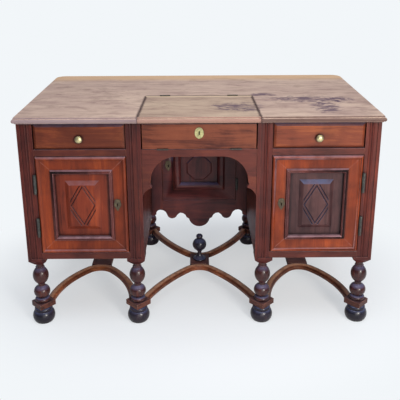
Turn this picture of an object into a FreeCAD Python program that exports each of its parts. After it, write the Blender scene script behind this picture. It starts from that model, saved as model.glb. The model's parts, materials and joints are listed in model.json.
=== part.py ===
import FreeCAD, Part
import math
import os
from FreeCAD import Vector

# A kneehole writing desk of the bureau mazarin type. Millimetres, X to the right, Y to the back, Z up.
# The origin is on the floor under the middle of the top.

# Overall size
TOP_WIDTH = 1266.0
TOP_DEPTH = 752.0
DESK_HEIGHT = 800.0
TOP_THICKNESS = 22.0
SIDE_OVERHANG = 11.0
END_OVERHANG = 16.0

# Moulded edge and shape of the top
EDGE_BEAD_RADIUS = 8.0
EDGE_STEP_SETBACK = 6.0
EDGE_FILLET = 2.0
EDGE_BANDS = 3
TOP_CORNER_RADIUS = 45.0
FLAP_FRONT_WIDTH = 418.0
FLAP_BACK_WIDTH = 406.0
FLAP_BACK_Y = -48.0
FLAP_SIDE_GAP = 1.2
FLAP_BACK_GAP = 2.0

# Uprights
POST_SIZE = 64.0
BAY_WIDTH = 400.0
POST_FOOT_Z = 258.0
POST_CHAMFER_HEIGHT = 20.0
POST_PLINTH_HEIGHT = 10.0
NECK_RADIUS = 14.0
REBATE_WIDTH = 12.0
REBATE_DEPTH = 24.5
REED_RADIUS = 3.5
REED_RISE = 2.6
REED_SPACING = 9.0
REED_BANDS = 4
FLUTE_DEPTH = 3.0
FLUTE_BAND = 40.0

# Turned legs, feet and stretchers
FOOT_HEIGHT = 62.0
FOOT_RADIUS = 41.0
FOOT_BASE_RADIUS = 33.0
FOOT_WIDEST_Z = 23.0
FOOT_TOP_RADIUS = 27.0
STRETCHER_THICKNESS = 20.0
RING_RADIUS = 28.0
RING_SHOULDER_RADIUS = 21.0
RING_HEIGHT = 18.0
RING_BANDS = 3
DISC_RADIUS = 30.0
DISC_HEIGHT = 46.0
DISC_BANDS = 5
SLIM_NECK_RADIUS = 13.5
SLIM_NECK_HEIGHT = 11.0
BALL_RADIUS = 29.0
BALL_HEIGHT = 64.0
BALL_BANDS = 6
FOOT_BANDS = 4
TURNING_SIDES = 16
SMALL_TURNING_SIDES = 20
TENON_HALF_WIDTH = 9.0
TENON_DEPTH_IN_FOOT = 32.0
TENON_CLEARANCE = 0.25
ARM_WIDTH = 31.0
ARM_SIDE_HEIGHT = 11.0
ARM_RIDGE_WIDTH = 9.0
ARM_CHORDS = 5
WAIST_WIDTH = 80.0
WAIST_DEPTH = 92.0
APEX_RADIUS = 72.0
APEX_TURN = 42.0
CENTRE_ARM_BULGE = 15.0
SIDE_ARM_BULGE = 24.0
PAD_WIDTH = 60.0
PAD_INNER_REACH = 36.0
ARM_END_IN_PAD = 9.0
WAIST_LAP = 5.0
LAP_CLEARANCE = 0.2
FINIAL_BASE_RADIUS = 26.5
FINIAL_BASE_DRUM = 7.0
FINIAL_BASE_TOP_RADIUS = 16.5
FINIAL_BASE_HEIGHT = 14.0
FINIAL_STEM_RADIUS = 8.5
FINIAL_STEM_HEIGHT = 42.0
FINIAL_BULB_RADIUS = 29.0
FINIAL_BULB_HEIGHT = 52.0
FINIAL_KNOB_RADIUS = 14.0
FINIAL_KNOB_TOP_RADIUS = 8.4
FINIAL_KNOB_HEIGHT = 21.0
FINIAL_TENON_HALF_WIDTH = 6.0
FINIAL_TENON_LENGTH = 12.0

# Case
FACE_SETBACK = 2.0
FRONT_BOARD = 22.0
FIT_GAP = 2.0
BASE_RAIL_BOTTOM_Z = 268.0
BASE_RAIL_HEIGHT = 24.0
DRAWER_OPENING_HEIGHT = 95.0
DRAWER_RAIL_HEIGHT = 23.0
DRAWER_LIFT = 1.0
TOP_GAP = 4.0
FALL_TOP_GAP = 6.0
SIDE_BOARD = 14.0
SIDE_RAIL_THICKNESS = 22.0
SIDE_TOP_RAIL_HEIGHT = 78.0
SIDE_BOTTOM_RAIL_HEIGHT = 62.0
SIDE_PANEL_THICKNESS = 12.0
SIDE_PANEL_SINK = 6.0
SIDE_FIELD_MARGIN = 46.0
SIDE_FIELD_BEVEL = 26.0
SIDE_FIELD_RISE = 5.0
BACK_BOARD = 12.0
FLOOR_BOARD = 12.0

# Doors of the two pedestals
FRAME_WIDTH = 51.0
RIM_WIDTH = 15.0
RIM_RISE = 6.5
MOULDING_BANDS = 4
PANEL_GROOVE = 6.0
PANEL_THICKNESS = 10.0
PANEL_SINK = 8.0
BOLECTION_WIDTH = 15.0
BOLECTION_LAP = 3.0
BOLECTION_RISE = 8.0
BOLECTION_CREST_SHARE = 0.38
BOLECTION_FOOT = 3.0
BLOCK_WIDTH_SHARE = 0.57
BLOCK_HEIGHT_SHARE = 0.70
BLOCK_BEVEL = 15.0
BLOCK_RISE = 9.0
GROOVE_WIDTH = 5.0
GROOVE_DEPTH = 3.0
GROOVE_SPACING = 10.0
GROOVE_MARGIN = 1.0

# Centre cupboard in the kneehole
RECESS_FACE_Y = 50.0
RECESS_STILE = 46.0
RECESS_BOTTOM_Z = 289.0
RECESS_BOTTOM_RAIL = 40.0
RECESS_TOP_RAIL = 59.0
CENTRE_FRAME_WIDTH = 48.0
CENTRE_BOLECTION_SHARE = 0.35
CENTRE_PANEL_SINK = 10.0
OCTAGON_SHARE = 0.57
OCTAGON_BEVEL = 4.0
OCTAGON_RISE = 4.0
DISH_SHARE = 0.45
DISH_SLOPE = 6.0
DISH_DEPTH = 2.0
SCALLOP_BOARD = 18.0
SCALLOP_BANDS = 3
SCALLOP_CORNER_DROP = 31.0
SCALLOP_NOTCH_START = (17.0, 27.0)
SCALLOP_NOTCH_BOW = (21.0, 10.0)
SCALLOP_NOTCH_TOP = (34.0, 4.0)
SCALLOP_HOLLOW_BOW = (52.0, 9.0)
SCALLOP_LOBE_START = (63.0, 25.0)
SCALLOP_LOBE_LOW = (86.0, 44.0)
SCALLOP_LOBE_END = (106.0, 28.0)
SCALLOP_MIDDLE_NOTCH = (118.0, 18.0)
SCALLOP_SHOULDER_BOW = (136.0, 23.0)
SCALLOP_SHOULDER_END = (146.0, 39.0)
SCALLOP_NIB = (156.0, 45.0)
SCALLOP_MIDDLE_DROP = 81.0
CENTRE_KEYHOLE_RAISE = 13.0

# Fall front, well and apron
WELL_BACK_BOARD = 14.0
WELL_BACK_SETBACK = 1.0
ARCH_TOP_DROP = 26.0
ARCH_FLAT_HALF = 80.0
ARCH_RADIUS = 90.0
ARCH_BANDS = 6
ARCH_BRACKET_DROP = 176.0
ARCH_CUSP_IN = 4.0
ARCH_CUSP_DROP = 25.0
ARCH_NOTCH_OUT = 4.0
ARCH_NOTCH_DROP = 13.0
ARCH_HOLLOW_BOW_X = 3.0
ARCH_HOLLOW_BOW_Z = 7.0

# Drawers
DRAWER_SIDE_GAP = 4.0
DRAWER_SIDE_BOARD = 12.0
DRAWER_SIDE_HEIGHT = 74.0
DRAWER_BACK_HEIGHT = 66.0
DRAWER_BOTTOM_BOARD = 8.0
DRAWER_BOTTOM_RAISE = 6.0
DRAWER_LENGTH = 590.0
DRAWER_BEVEL = 14.0
DRAWER_BEVEL_DEPTH = 6.0
RUNNER_REACH = 16.0
RUNNER_GUIDE_HEIGHT = 15.0
SLIDE_GAP = 0.3

# Brass and iron
KNOB_RADIUS = 13.0
KNOB_LENGTH = 17.5
KNOB_SPINDLE_HALF_WIDTH = 2.5
KNOB_BASE_RADIUS = 8.0
KNOB_NECK_RADIUS = 4.5
KNOB_NECK_HEIGHT = 4.2
KNOB_WIDEST_HEIGHT = 11.0
KNOB_TOP_RADIUS = 6.5
KNOB_BANDS = 4
KNOB_ABOVE_DRAWER_FOOT = 38.0
PLATE_THICKNESS = 1.6
OVAL_WIDTH = 31.0
OVAL_HEIGHT = 40.0
SHIELD_WIDTH = 25.0
SHIELD_HEIGHT = 44.0
PLATE_BANDS = 24
SHIELD_BANDS = 3
SHIELD_SHOULDER = (0.72, 0.86)
SHIELD_NECK = (0.82, 0.48)
SHIELD_CHEEK = (1.0, 0.06)
SHIELD_HIP = (0.74, -0.30)
SHIELD_FOOT_BOW = (0.42, -0.62)
KEYHOLE_WIDTH = 4.0
KEYHOLE_HEIGHT = 13.0
DOOR_KEYHOLE_FROM_EDGE = 35.0
DOOR_KEYHOLE_RAISE = 2.0
FALL_KEYHOLE_FROM_TOP = 31.0
LOCK_WIDTH = 46.0
LOCK_HEIGHT = 52.0
LOCK_DEPTH = 12.0
HINGE_SIDES = 12
FICHE_RADIUS = 3.6
FICHE_LENGTH = 72.0
CENTRE_FICHE_LENGTH = 50.0
FICHE_PIN_RADIUS = 1.5
PIN_CLEARANCE = 0.1
FICHE_LEAF = 1.1
FICHE_LEAF_REACH = 20.0
FICHE_STAND_OFF = 0.3
FICHE_SEAT = 0.3
FICHE_PIN_MARGIN = 6.0
FICHE_LEAF_GAP = 0.1
FICHE_LEAF_PLAY = 0.5
FICHE_SHARE = 0.275
CENTRE_FICHE_SHARE = 0.25
BUTT_RADIUS = 2.0
BUTT_LENGTH = 40.0
BUTT_LEAF = 0.7
BUTT_LEAF_SEAT = 0.05
BUTT_STAND_OFF = 0.2
BUTT_PIN_MARGIN = 4.0
BUTT_LEAF_REACH = 16.0
BUTT_PIN_RADIUS = 0.9
BUTT_SEAT = 0.3
FLAP_HINGE_X = 130.0
FALL_HINGE_X = 126.0
FALL_BUTT_STAND_OFF = 0.4

# How far cutting shapes run past what they cut
CUT_MARGIN = 1.0

# Places worked out from the sizes above
TOP_UNDER_Z = DESK_HEIGHT - TOP_THICKNESS
HALF_TOP_DEPTH = TOP_DEPTH / 2
HALF_TOP_WIDTH = TOP_WIDTH / 2
HALF_POST = POST_SIZE / 2
OUTER_FACE_X = HALF_TOP_WIDTH - SIDE_OVERHANG
OUTER_POST_X = OUTER_FACE_X - HALF_POST
HALF_BAY = BAY_WIDTH / 2
INNER_POST_X = HALF_BAY + HALF_POST
CASE_FRONT_Y = -(HALF_TOP_DEPTH - END_OVERHANG)
FRONT_POST_Y = CASE_FRONT_Y + HALF_POST
REAR_POST_Y = -FRONT_POST_Y
POST_BACK_Y = CASE_FRONT_Y + POST_SIZE
FACE_Y = CASE_FRONT_Y + FACE_SETBACK
FACE_BACK_Y = FACE_Y + FRONT_BOARD
BASE_RAIL_TOP_Z = BASE_RAIL_BOTTOM_Z + BASE_RAIL_HEIGHT
DRAWER_RAIL_TOP_Z = TOP_UNDER_Z - DRAWER_OPENING_HEIGHT
DRAWER_RAIL_BOTTOM_Z = DRAWER_RAIL_TOP_Z - DRAWER_RAIL_HEIGHT
LEG_BASE_Z = FOOT_HEIGHT + STRETCHER_THICKNESS
OPEN_LEFT_X = INNER_POST_X + HALF_POST - REBATE_WIDTH
OPEN_RIGHT_X = OUTER_POST_X - HALF_POST + REBATE_WIDTH
FRONT_LEFT_X = OPEN_LEFT_X + FIT_GAP
FRONT_RIGHT_X = OPEN_RIGHT_X - FIT_GAP
PEDESTAL_X = (FRONT_LEFT_X + FRONT_RIGHT_X) / 2
DOOR_BOTTOM_Z = BASE_RAIL_TOP_Z + FIT_GAP
DOOR_TOP_Z = DRAWER_RAIL_BOTTOM_Z - FIT_GAP
DOOR_MIDDLE_Z = (DOOR_BOTTOM_Z + DOOR_TOP_Z) / 2
DOOR_KEYHOLE_Z = DOOR_MIDDLE_Z + DOOR_KEYHOLE_RAISE
PANEL_OPENING_WIDTH = FRONT_RIGHT_X - FRONT_LEFT_X - 2 * FRAME_WIDTH
PANEL_OPENING_HEIGHT = DOOR_TOP_Z - DOOR_BOTTOM_Z - 2 * FRAME_WIDTH
DRAWER_BOTTOM_Z = DRAWER_RAIL_TOP_Z + DRAWER_LIFT
KNOB_Z = DRAWER_BOTTOM_Z + KNOB_ABOVE_DRAWER_FOOT
FRONT_TOP_Z = TOP_UNDER_Z - TOP_GAP
FALL_BOTTOM_Z = DRAWER_BOTTOM_Z
FALL_TOP_Z = TOP_UNDER_Z - FALL_TOP_GAP
FALL_KEYHOLE_Z = FALL_TOP_Z - FALL_KEYHOLE_FROM_TOP
BACK_INNER_Y = -CASE_FRONT_Y - FACE_SETBACK - BACK_BOARD
WELL_FLOOR_TOP_Z = FALL_BOTTOM_Z - FIT_GAP
WELL_FLOOR_Z = WELL_FLOOR_TOP_Z - FLOOR_BOARD
FICHE_X = OPEN_RIGHT_X + FICHE_RADIUS
FICHE_Y = CASE_FRONT_Y - FICHE_RADIUS - FICHE_STAND_OFF
CENTRE_DOOR_EDGE_X = HALF_BAY - RECESS_STILE - FIT_GAP
CENTRE_DOOR_BOTTOM_Z = RECESS_BOTTOM_Z + RECESS_BOTTOM_RAIL + FIT_GAP
CENTRE_DOOR_TOP_Z = WELL_FLOOR_Z - RECESS_TOP_RAIL - FIT_GAP
CENTRE_DOOR_MIDDLE_Z = (CENTRE_DOOR_BOTTOM_Z + CENTRE_DOOR_TOP_Z) / 2
CENTRE_KEYHOLE_X = -CENTRE_DOOR_EDGE_X + CENTRE_FRAME_WIDTH / 2
CENTRE_KEYHOLE_Z = CENTRE_DOOR_MIDDLE_Z + CENTRE_KEYHOLE_RAISE
CENTRE_DOOR_HALF_HEIGHT = (CENTRE_DOOR_TOP_Z - CENTRE_DOOR_BOTTOM_Z) / 2
CENTRE_HALF_OPENING = min(CENTRE_DOOR_EDGE_X, CENTRE_DOOR_HALF_HEIGHT) - CENTRE_FRAME_WIDTH
CENTRE_FICHE_X = HALF_BAY - RECESS_STILE + FICHE_RADIUS
CENTRE_FICHE_Y = RECESS_FACE_Y - FICHE_RADIUS - FICHE_STAND_OFF
FLAP_PIVOT_Z = DESK_HEIGHT + BUTT_RADIUS + BUTT_STAND_OFF
FLAP_PIVOT_Y = FLAP_BACK_Y + FLAP_BACK_GAP / 2
FALL_PIVOT_Y = FACE_Y - BUTT_RADIUS - FALL_BUTT_STAND_OFF
FALL_PIVOT_Z = FALL_BOTTOM_Z - FIT_GAP / 2

X_AXIS = Vector(1, 0, 0)
Y_AXIS = Vector(0, 1, 0)
Z_AXIS = Vector(0, 0, 1)
ORIGIN = Vector(0, 0, 0)


def block(x0, x1, y0, y1, z0, z1):
    return Part.makeBox(x1 - x0, y1 - y0, z1 - z0, Vector(x0, y0, z0))


def fused(solids):
    shape = solids[0].fuse(solids[1:]) if len(solids) > 1 else solids[0]
    return shape.removeSplitter()


def mirrored_x(shape):
    return shape.mirror(ORIGIN, X_AXIS)


def mirrored_y(shape):
    return shape.mirror(ORIGIN, Y_AXIS)


def banded_arc(here, through, end, bands):
    """The arc through three points, cut as that many even chords."""
    arc = Part.Arc(Vector(here[0], here[1], 0), Vector(through[0], through[1], 0), Vector(end[0], end[1], 0))
    points = arc.toShape().discretize(Number=bands + 1)
    inner = [((point.x, point.y),) for point in points[1:-1]]
    return inner + [(end,)]


def outline_wire(start, steps, place):
    """A closed outline of straight and round steps.

    A straight step is (end,), a true arc is (through, end) and an arc of chords is (through, end, bands).
    """
    flat = []
    here = start
    for step in steps:
        flat += banded_arc(here, step[0], step[1], step[2]) if len(step) == 3 else [step]
        here = step[1] if len(step) == 3 else step[-1]
    edges = []
    here = start
    for step in flat + [(start,)]:
        end = step[-1]
        if len(step) == 2:
            edges.append(Part.Arc(place(here), place(step[0]), place(end)).toShape())
        elif place(here).distanceToPoint(place(end)) > 0.001:
            edges.append(Part.LineSegment(place(here), place(end)).toShape())
        here = end
    return Part.Wire(edges)


def on_front(y):
    return lambda p: Vector(p[0], y, p[1])


def on_plan(z):
    return lambda p: Vector(p[0], p[1], z)


def in_section(p):
    return Vector(p[0], 0, p[1])


def board_from_front(start, steps, y0, y1):
    """A flat board whose front view is the outline, from y0 back to y1."""
    return Part.Face(outline_wire(start, steps, on_front(y0))).extrude(Vector(0, y1 - y0, 0))


def flat_face(corners):
    return Part.Face(Part.makePolygon(corners + corners[:1]))


def faceted_solid(sections):
    """A solid with flat facets between sections that all have the same number of corners."""
    faces = [flat_face(sections[0]), flat_face(sections[-1])]
    for near, far in zip(sections, sections[1:]):
        for k in range(len(near)):
            faces.append(flat_face([near[k - 1], near[k], far[k], far[k - 1]]))
    solid = Part.Solid(Part.Shell(faces))
    if solid.Volume < 0:
        solid.reverse()
    return solid


def ring_corners(radius, z, sides):
    """A regular outline round Z, with its corners on the circle of that radius."""
    turns = [2 * math.pi * (k + 0.5) / sides for k in range(sides)]
    return [Vector(radius * math.cos(turn), radius * math.sin(turn), z) for turn in turns]


def turned(start, steps, sides):
    """A turning about Z from its outline (radius, height), rising from start to the last step.

    It is faceted, with that many sides, so that the many turned pieces stay light.
    """
    points = [start]
    for step in steps:
        flat = banded_arc(points[-1], step[0], step[1], step[2]) if len(step) == 3 else [step]
        points += [item[0] for item in flat]
    return faceted_solid([ring_corners(radius, z, sides) for radius, z in points])


def round_bar(radius, length, sides):
    """A faceted bar along Z from the origin, with its corners on the circle of that radius."""
    return flat_face(ring_corners(radius, 0.0, sides)).extrude(Vector(0, 0, length))


def bore_bar(radius, length, sides):
    """A faceted bar to cut a bore with: its flats lie on the circle of that radius."""
    return round_bar(radius / math.cos(math.pi / sides), length, sides)


def laid_along_x(bar, x, y, z):
    bar.rotate(ORIGIN, Y_AXIS, 90)
    bar.translate(Vector(x, y, z))
    return bar


def stood_at(bar, x, y, z):
    bar.translate(Vector(x, y, z))
    return bar


def rectangle_points(half_width, half_height):
    return [(-half_width, -half_height), (half_width, -half_height),
            (half_width, half_height), (-half_width, half_height)]


def tapered_tablet(points_back, points_front, centre_x, centre_z, back_y, front_y):
    """A raised tablet that slopes from its back outline to its smaller front outline."""
    back = [Vector(centre_x + x, back_y, centre_z + z) for x, z in points_back]
    front = [Vector(centre_x + x, front_y, centre_z + z) for x, z in points_front]
    return faceted_solid([back, front])


# Top

def edge_profile(tip, inward):
    """The moulded edge from the flat top down to the underside, as steps of (place, height)."""
    bead_z = TOP_UNDER_Z + EDGE_FILLET + EDGE_BEAD_RADIUS
    step_in = EDGE_BEAD_RADIUS - EDGE_STEP_SETBACK
    step_z = bead_z + math.sqrt(EDGE_BEAD_RADIUS ** 2 - step_in ** 2)
    step_angle = math.atan2(step_z - bead_z, -step_in) / 2 + math.pi / 2
    mid = (tip + inward * (EDGE_BEAD_RADIUS + EDGE_BEAD_RADIUS * math.cos(step_angle)),
           bead_z + EDGE_BEAD_RADIUS * math.sin(step_angle))
    low = EDGE_BEAD_RADIUS * (1 - math.sqrt(0.5))
    return [
        ((tip + inward * EDGE_STEP_SETBACK, DESK_HEIGHT),),
        ((tip + inward * EDGE_STEP_SETBACK, step_z),),
        (mid, (tip, bead_z), EDGE_BANDS),
        ((tip + inward * low, bead_z - EDGE_BEAD_RADIUS * math.sqrt(0.5)),
         (tip + inward * EDGE_BEAD_RADIUS, bead_z - EDGE_BEAD_RADIUS), EDGE_BANDS),
        ((tip + inward * EDGE_BEAD_RADIUS, TOP_UNDER_Z),),
    ]


def step_end(step):
    return step[0] if len(step) == 1 else step[1]


def reversed_steps(start, steps):
    """The same run of steps walked the other way, from its last point back to start."""
    points = [start] + [step_end(step) for step in steps]
    back = []
    for index in range(len(steps) - 1, -1, -1):
        step = steps[index]
        back.append((points[index],) if len(step) == 1 else (step[0], points[index]) + step[2:])
    return points[-1], back


def moulded_bar(half_span, place, direction):
    """The full top section between two opposite moulded edges, run along one direction."""
    right = edge_profile(half_span, -1.0)
    left = edge_profile(-half_span, 1.0)
    left_start, left_up = reversed_steps(left[0][0], left[1:])
    start = right[0][0]
    steps = right[1:] + [(left_start,)] + left_up
    return Part.Face(outline_wire(start, steps, place)).extrude(direction)


def moulded_top():
    along_x = moulded_bar(HALF_TOP_DEPTH, lambda p: Vector(-HALF_TOP_WIDTH, p[0], p[1]),
                          Vector(TOP_WIDTH, 0, 0))
    along_y = moulded_bar(HALF_TOP_WIDTH, lambda p: Vector(p[0], -HALF_TOP_DEPTH, p[1]),
                          Vector(0, TOP_DEPTH, 0))
    top = along_x.common(along_y)
    steps = edge_profile(TOP_CORNER_RADIUS, -1.0)
    start = steps[0][0]
    closing = [((0, TOP_UNDER_Z),), ((0, DESK_HEIGHT),)]
    corner_face = Part.Face(outline_wire(start, steps[1:] + closing, in_section))
    for side in (-1, 1):
        centre_x = side * (HALF_TOP_WIDTH - TOP_CORNER_RADIUS)
        centre_y = HALF_TOP_DEPTH - TOP_CORNER_RADIUS
        low_x = min(centre_x, side * HALF_TOP_WIDTH)
        cut = block(low_x, low_x + TOP_CORNER_RADIUS, centre_y, HALF_TOP_DEPTH, TOP_UNDER_Z, DESK_HEIGHT)
        round_corner = corner_face.revolve(ORIGIN, Z_AXIS, 90)
        if side < 0:
            round_corner.rotate(ORIGIN, Z_AXIS, 90)
        round_corner.translate(Vector(centre_x, centre_y, 0))
        top = top.cut(cut).fuse(round_corner)
    return top.removeSplitter()


def flap_plan(widen, back_y):
    front = FLAP_FRONT_WIDTH / 2 + widen
    back = FLAP_BACK_WIDTH / 2 + widen
    slope = (front - back) / (FLAP_BACK_Y + HALF_TOP_DEPTH)
    front_y = -HALF_TOP_DEPTH - CUT_MARGIN
    front_half = back + slope * (FLAP_BACK_Y - front_y)
    back_half = back + slope * (FLAP_BACK_Y - back_y)
    points = [(-front_half, front_y), (front_half, front_y), (back_half, back_y), (-back_half, back_y)]
    corners = [Vector(x, y, TOP_UNDER_Z - CUT_MARGIN) for x, y in points]
    return flat_face(corners).extrude(Vector(0, 0, TOP_THICKNESS + 2 * CUT_MARGIN))


def top_pieces():
    """The rear boards, the two boards beside the flap, and the flap that is sawn out between them."""
    top = moulded_top()
    seam_y = FLAP_BACK_Y + FLAP_BACK_GAP
    rear = top.common(block(-HALF_TOP_WIDTH, HALF_TOP_WIDTH, seam_y, HALF_TOP_DEPTH,
                            TOP_UNDER_Z, DESK_HEIGHT))
    front = top.common(block(-HALF_TOP_WIDTH, HALF_TOP_WIDTH, -HALF_TOP_DEPTH, seam_y,
                             TOP_UNDER_Z, DESK_HEIGHT))
    sides = front.cut(flap_plan(FLAP_SIDE_GAP, seam_y + CUT_MARGIN))
    flap = front.common(flap_plan(0.0, FLAP_BACK_Y))
    return [rear] + list(sides.Solids), flap


# Uprights

def flute_cutter(length):
    """The sunk band with its two reeds, cut into a face that looks along -Y, standing on the origin."""
    half = FLUTE_BAND / 2
    steps = [((-half, FLUTE_DEPTH),)]
    for middle in (-REED_SPACING / 2, REED_SPACING / 2):
        steps.append(((middle - REED_RADIUS, FLUTE_DEPTH),))
        steps.append(((middle, FLUTE_DEPTH - REED_RISE), (middle + REED_RADIUS, FLUTE_DEPTH), REED_BANDS))
    steps += [((half, FLUTE_DEPTH),), ((half, -CUT_MARGIN),)]
    return Part.Face(outline_wire((-half, -CUT_MARGIN), steps, on_plan(0.0))).extrude(Vector(0, 0, length))


def turned_leg():
    """The turned part of an upright, from the slab of the stretcher up to the neck under the square post."""
    z0 = LEG_BASE_Z
    ring_top = z0 + RING_HEIGHT
    disc_top = ring_top + DISC_HEIGHT
    neck_top = disc_top + SLIM_NECK_HEIGHT
    ball_top = neck_top + BALL_HEIGHT
    post_neck_z = POST_FOOT_Z - POST_CHAMFER_HEIGHT
    steps = [
        ((RING_RADIUS, z0 + RING_HEIGHT / 2), (RING_SHOULDER_RADIUS, ring_top), RING_BANDS),
        ((SLIM_NECK_RADIUS, ring_top),),
        ((DISC_RADIUS, ring_top + DISC_HEIGHT / 2), (SLIM_NECK_RADIUS, disc_top), DISC_BANDS),
        ((SLIM_NECK_RADIUS, neck_top),),
        ((BALL_RADIUS, neck_top + BALL_HEIGHT / 2), (NECK_RADIUS, ball_top), BALL_BANDS),
        ((NECK_RADIUS, post_neck_z),),
    ]
    leg = turned((RING_SHOULDER_RADIUS, z0), steps, TURNING_SIDES)
    half = TENON_HALF_WIDTH
    tenon = block(-half, half, -half, half, FOOT_HEIGHT - TENON_DEPTH_IN_FOOT + CUT_MARGIN, z0)
    return fused([leg, tenon])


def square_corners(half, z):
    return [Vector(-half, -half, z), Vector(half, -half, z), Vector(half, half, z), Vector(-half, half, z)]


def upright(flute_turns, rebate_side):
    """A square post over its turned leg, centred on Z. flute_turns are quarter turns of the fluted faces."""
    post = block(-HALF_POST, HALF_POST, -HALF_POST, HALF_POST, POST_FOOT_Z, TOP_UNDER_Z)
    chamfer = faceted_solid([square_corners(NECK_RADIUS, POST_FOOT_Z - POST_CHAMFER_HEIGHT),
                             square_corners(HALF_POST, POST_FOOT_Z)])
    shape = fused([post, chamfer, turned_leg()])
    flute_z = POST_FOOT_Z + POST_PLINTH_HEIGHT
    for quarter in flute_turns:
        flute = flute_cutter(TOP_UNDER_Z - flute_z)
        flute.translate(Vector(0, -HALF_POST, flute_z))
        flute.rotate(ORIGIN, Z_AXIS, 90 * quarter)
        shape = shape.cut(flute)
    if rebate_side:
        low_x = HALF_POST - REBATE_WIDTH if rebate_side > 0 else -HALF_POST
        shape = shape.cut(block(low_x, low_x + REBATE_WIDTH, -HALF_POST, -HALF_POST + REBATE_DEPTH,
                                BASE_RAIL_BOTTOM_Z, TOP_UNDER_Z))
    return shape


def bun_foot(x, y):
    """A turned bun foot with a square mortise for the tenon of its upright."""
    swell = ((FOOT_RADIUS, FOOT_WIDEST_Z), (FOOT_TOP_RADIUS, FOOT_HEIGHT), FOOT_BANDS)
    foot = turned((FOOT_BASE_RADIUS, 0), [swell], TURNING_SIDES)
    half = TENON_HALF_WIDTH + TENON_CLEARANCE
    foot = foot.cut(block(-half, half, -half, half,
                          FOOT_HEIGHT - TENON_DEPTH_IN_FOOT, FOOT_HEIGHT + CUT_MARGIN))
    foot.translate(Vector(x, y, 0))
    return foot


# Stretchers

def arm_section(centre, at):
    """The moulded section of an arm across its run at one point: upright sides and a raised ridge."""
    outward = Vector(at.x - centre.x, at.y - centre.y, 0).normalize()
    half = ARM_WIDTH / 2
    ridge = ARM_RIDGE_WIDTH / 2
    points = [(-half, 0), (half, 0), (half, ARM_SIDE_HEIGHT), (ridge, STRETCHER_THICKNESS),
              (-ridge, STRETCHER_THICKNESS), (-half, ARM_SIDE_HEIGHT)]
    return [at + outward * across + Vector(0, 0, FOOT_HEIGHT + rise) for across, rise in points]


def arm_length(start, through, end):
    """One moulded length of a stretcher that follows the arc through three points in plan."""
    arc = Part.Arc(start, through, end).toShape()
    centre = arc.Curve.Center
    return faceted_solid([arm_section(centre, at) for at in arc.discretize(Number=ARM_CHORDS + 1)])


def leg_pad(half_span):
    """The square slab under a leg at the end of an arm, set on the diagonal."""
    half = PAD_WIDTH / 2
    z1 = FOOT_HEIGHT + STRETCHER_THICKNESS
    pad = block(-PAD_INNER_REACH, half, -half, half, FOOT_HEIGHT, z1)
    pad.rotate(ORIGIN, Z_AXIS, -45)
    pad.translate(Vector(half_span, FRONT_POST_Y, 0))
    return pad


def stretcher_half(half_span, bulge):
    """The front half of a bay's X: an apex arc, two swung arms, half of the waist and two leg pads."""
    apex_y = -WAIST_DEPTH / 2 - WAIST_LAP
    centre = Vector(0, apex_y - APEX_RADIUS, 0)
    turn = math.radians(APEX_TURN)
    shoulder = centre + Vector(math.sin(turn), math.cos(turn), 0) * APEX_RADIUS
    apex = arm_length(Vector(-shoulder.x, shoulder.y, 0), Vector(0, apex_y, 0), shoulder)
    inward = (PAD_INNER_REACH - ARM_END_IN_PAD) * math.sqrt(0.5)
    end = Vector(half_span - inward, FRONT_POST_Y + inward, 0)
    run = end - shoulder
    middle = (shoulder + end) / 2 + Vector(-run.y, run.x, 0).normalize() * bulge
    arm = arm_length(shoulder, middle, end)
    waist = block(-WAIST_WIDTH / 2, WAIST_WIDTH / 2, -WAIST_DEPTH / 2, 0, FOOT_HEIGHT,
                  FOOT_HEIGHT + STRETCHER_THICKNESS)
    right = fused([arm, leg_pad(half_span)])
    half = fused([waist, apex, right, mirrored_x(right)])
    hole = TENON_HALF_WIDTH + TENON_CLEARANCE
    for x in (-half_span, half_span):
        half = half.cut(block(x - hole, x + hole, FRONT_POST_Y - hole, FRONT_POST_Y + hole,
                              FOOT_HEIGHT - CUT_MARGIN, LEG_BASE_Z + CUT_MARGIN))
    return half


def lap_block(x, lower_half):
    """What is cut from a pad so that two pads share one leg, each with half of the thickness."""
    half = PAD_WIDTH / 2 + LAP_CLEARANCE
    middle_z = FOOT_HEIGHT + STRETCHER_THICKNESS / 2
    z0 = FOOT_HEIGHT - CUT_MARGIN if lower_half else middle_z
    z1 = middle_z if lower_half else LEG_BASE_Z + CUT_MARGIN
    lap = block(-half, half, -half, half, z0, z1)
    lap.rotate(ORIGIN, Z_AXIS, 45)
    lap.translate(Vector(x, FRONT_POST_Y, 0))
    return lap


def centre_stretcher():
    """The X of the middle bay, whose four pads are the upper half of each lap."""
    half = stretcher_half(INNER_POST_X, CENTRE_ARM_BULGE)
    for x in (-INNER_POST_X, INNER_POST_X):
        half = half.cut(lap_block(x, True))
    hole = FINIAL_TENON_HALF_WIDTH + TENON_CLEARANCE
    half = half.cut(block(-hole, hole, -hole, hole, LEG_BASE_Z - FINIAL_TENON_LENGTH - CUT_MARGIN,
                          LEG_BASE_Z + CUT_MARGIN))
    return [half, mirrored_y(half)]


def right_stretcher():
    """The X of the right bay, whose pads are the lower half of the lap at the inner legs."""
    half_span = (OUTER_POST_X - INNER_POST_X) / 2
    half = stretcher_half(half_span, SIDE_ARM_BULGE).cut(lap_block(-half_span, False))
    half.translate(Vector((OUTER_POST_X + INNER_POST_X) / 2, 0, 0))
    return [half, mirrored_y(half)]


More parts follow.
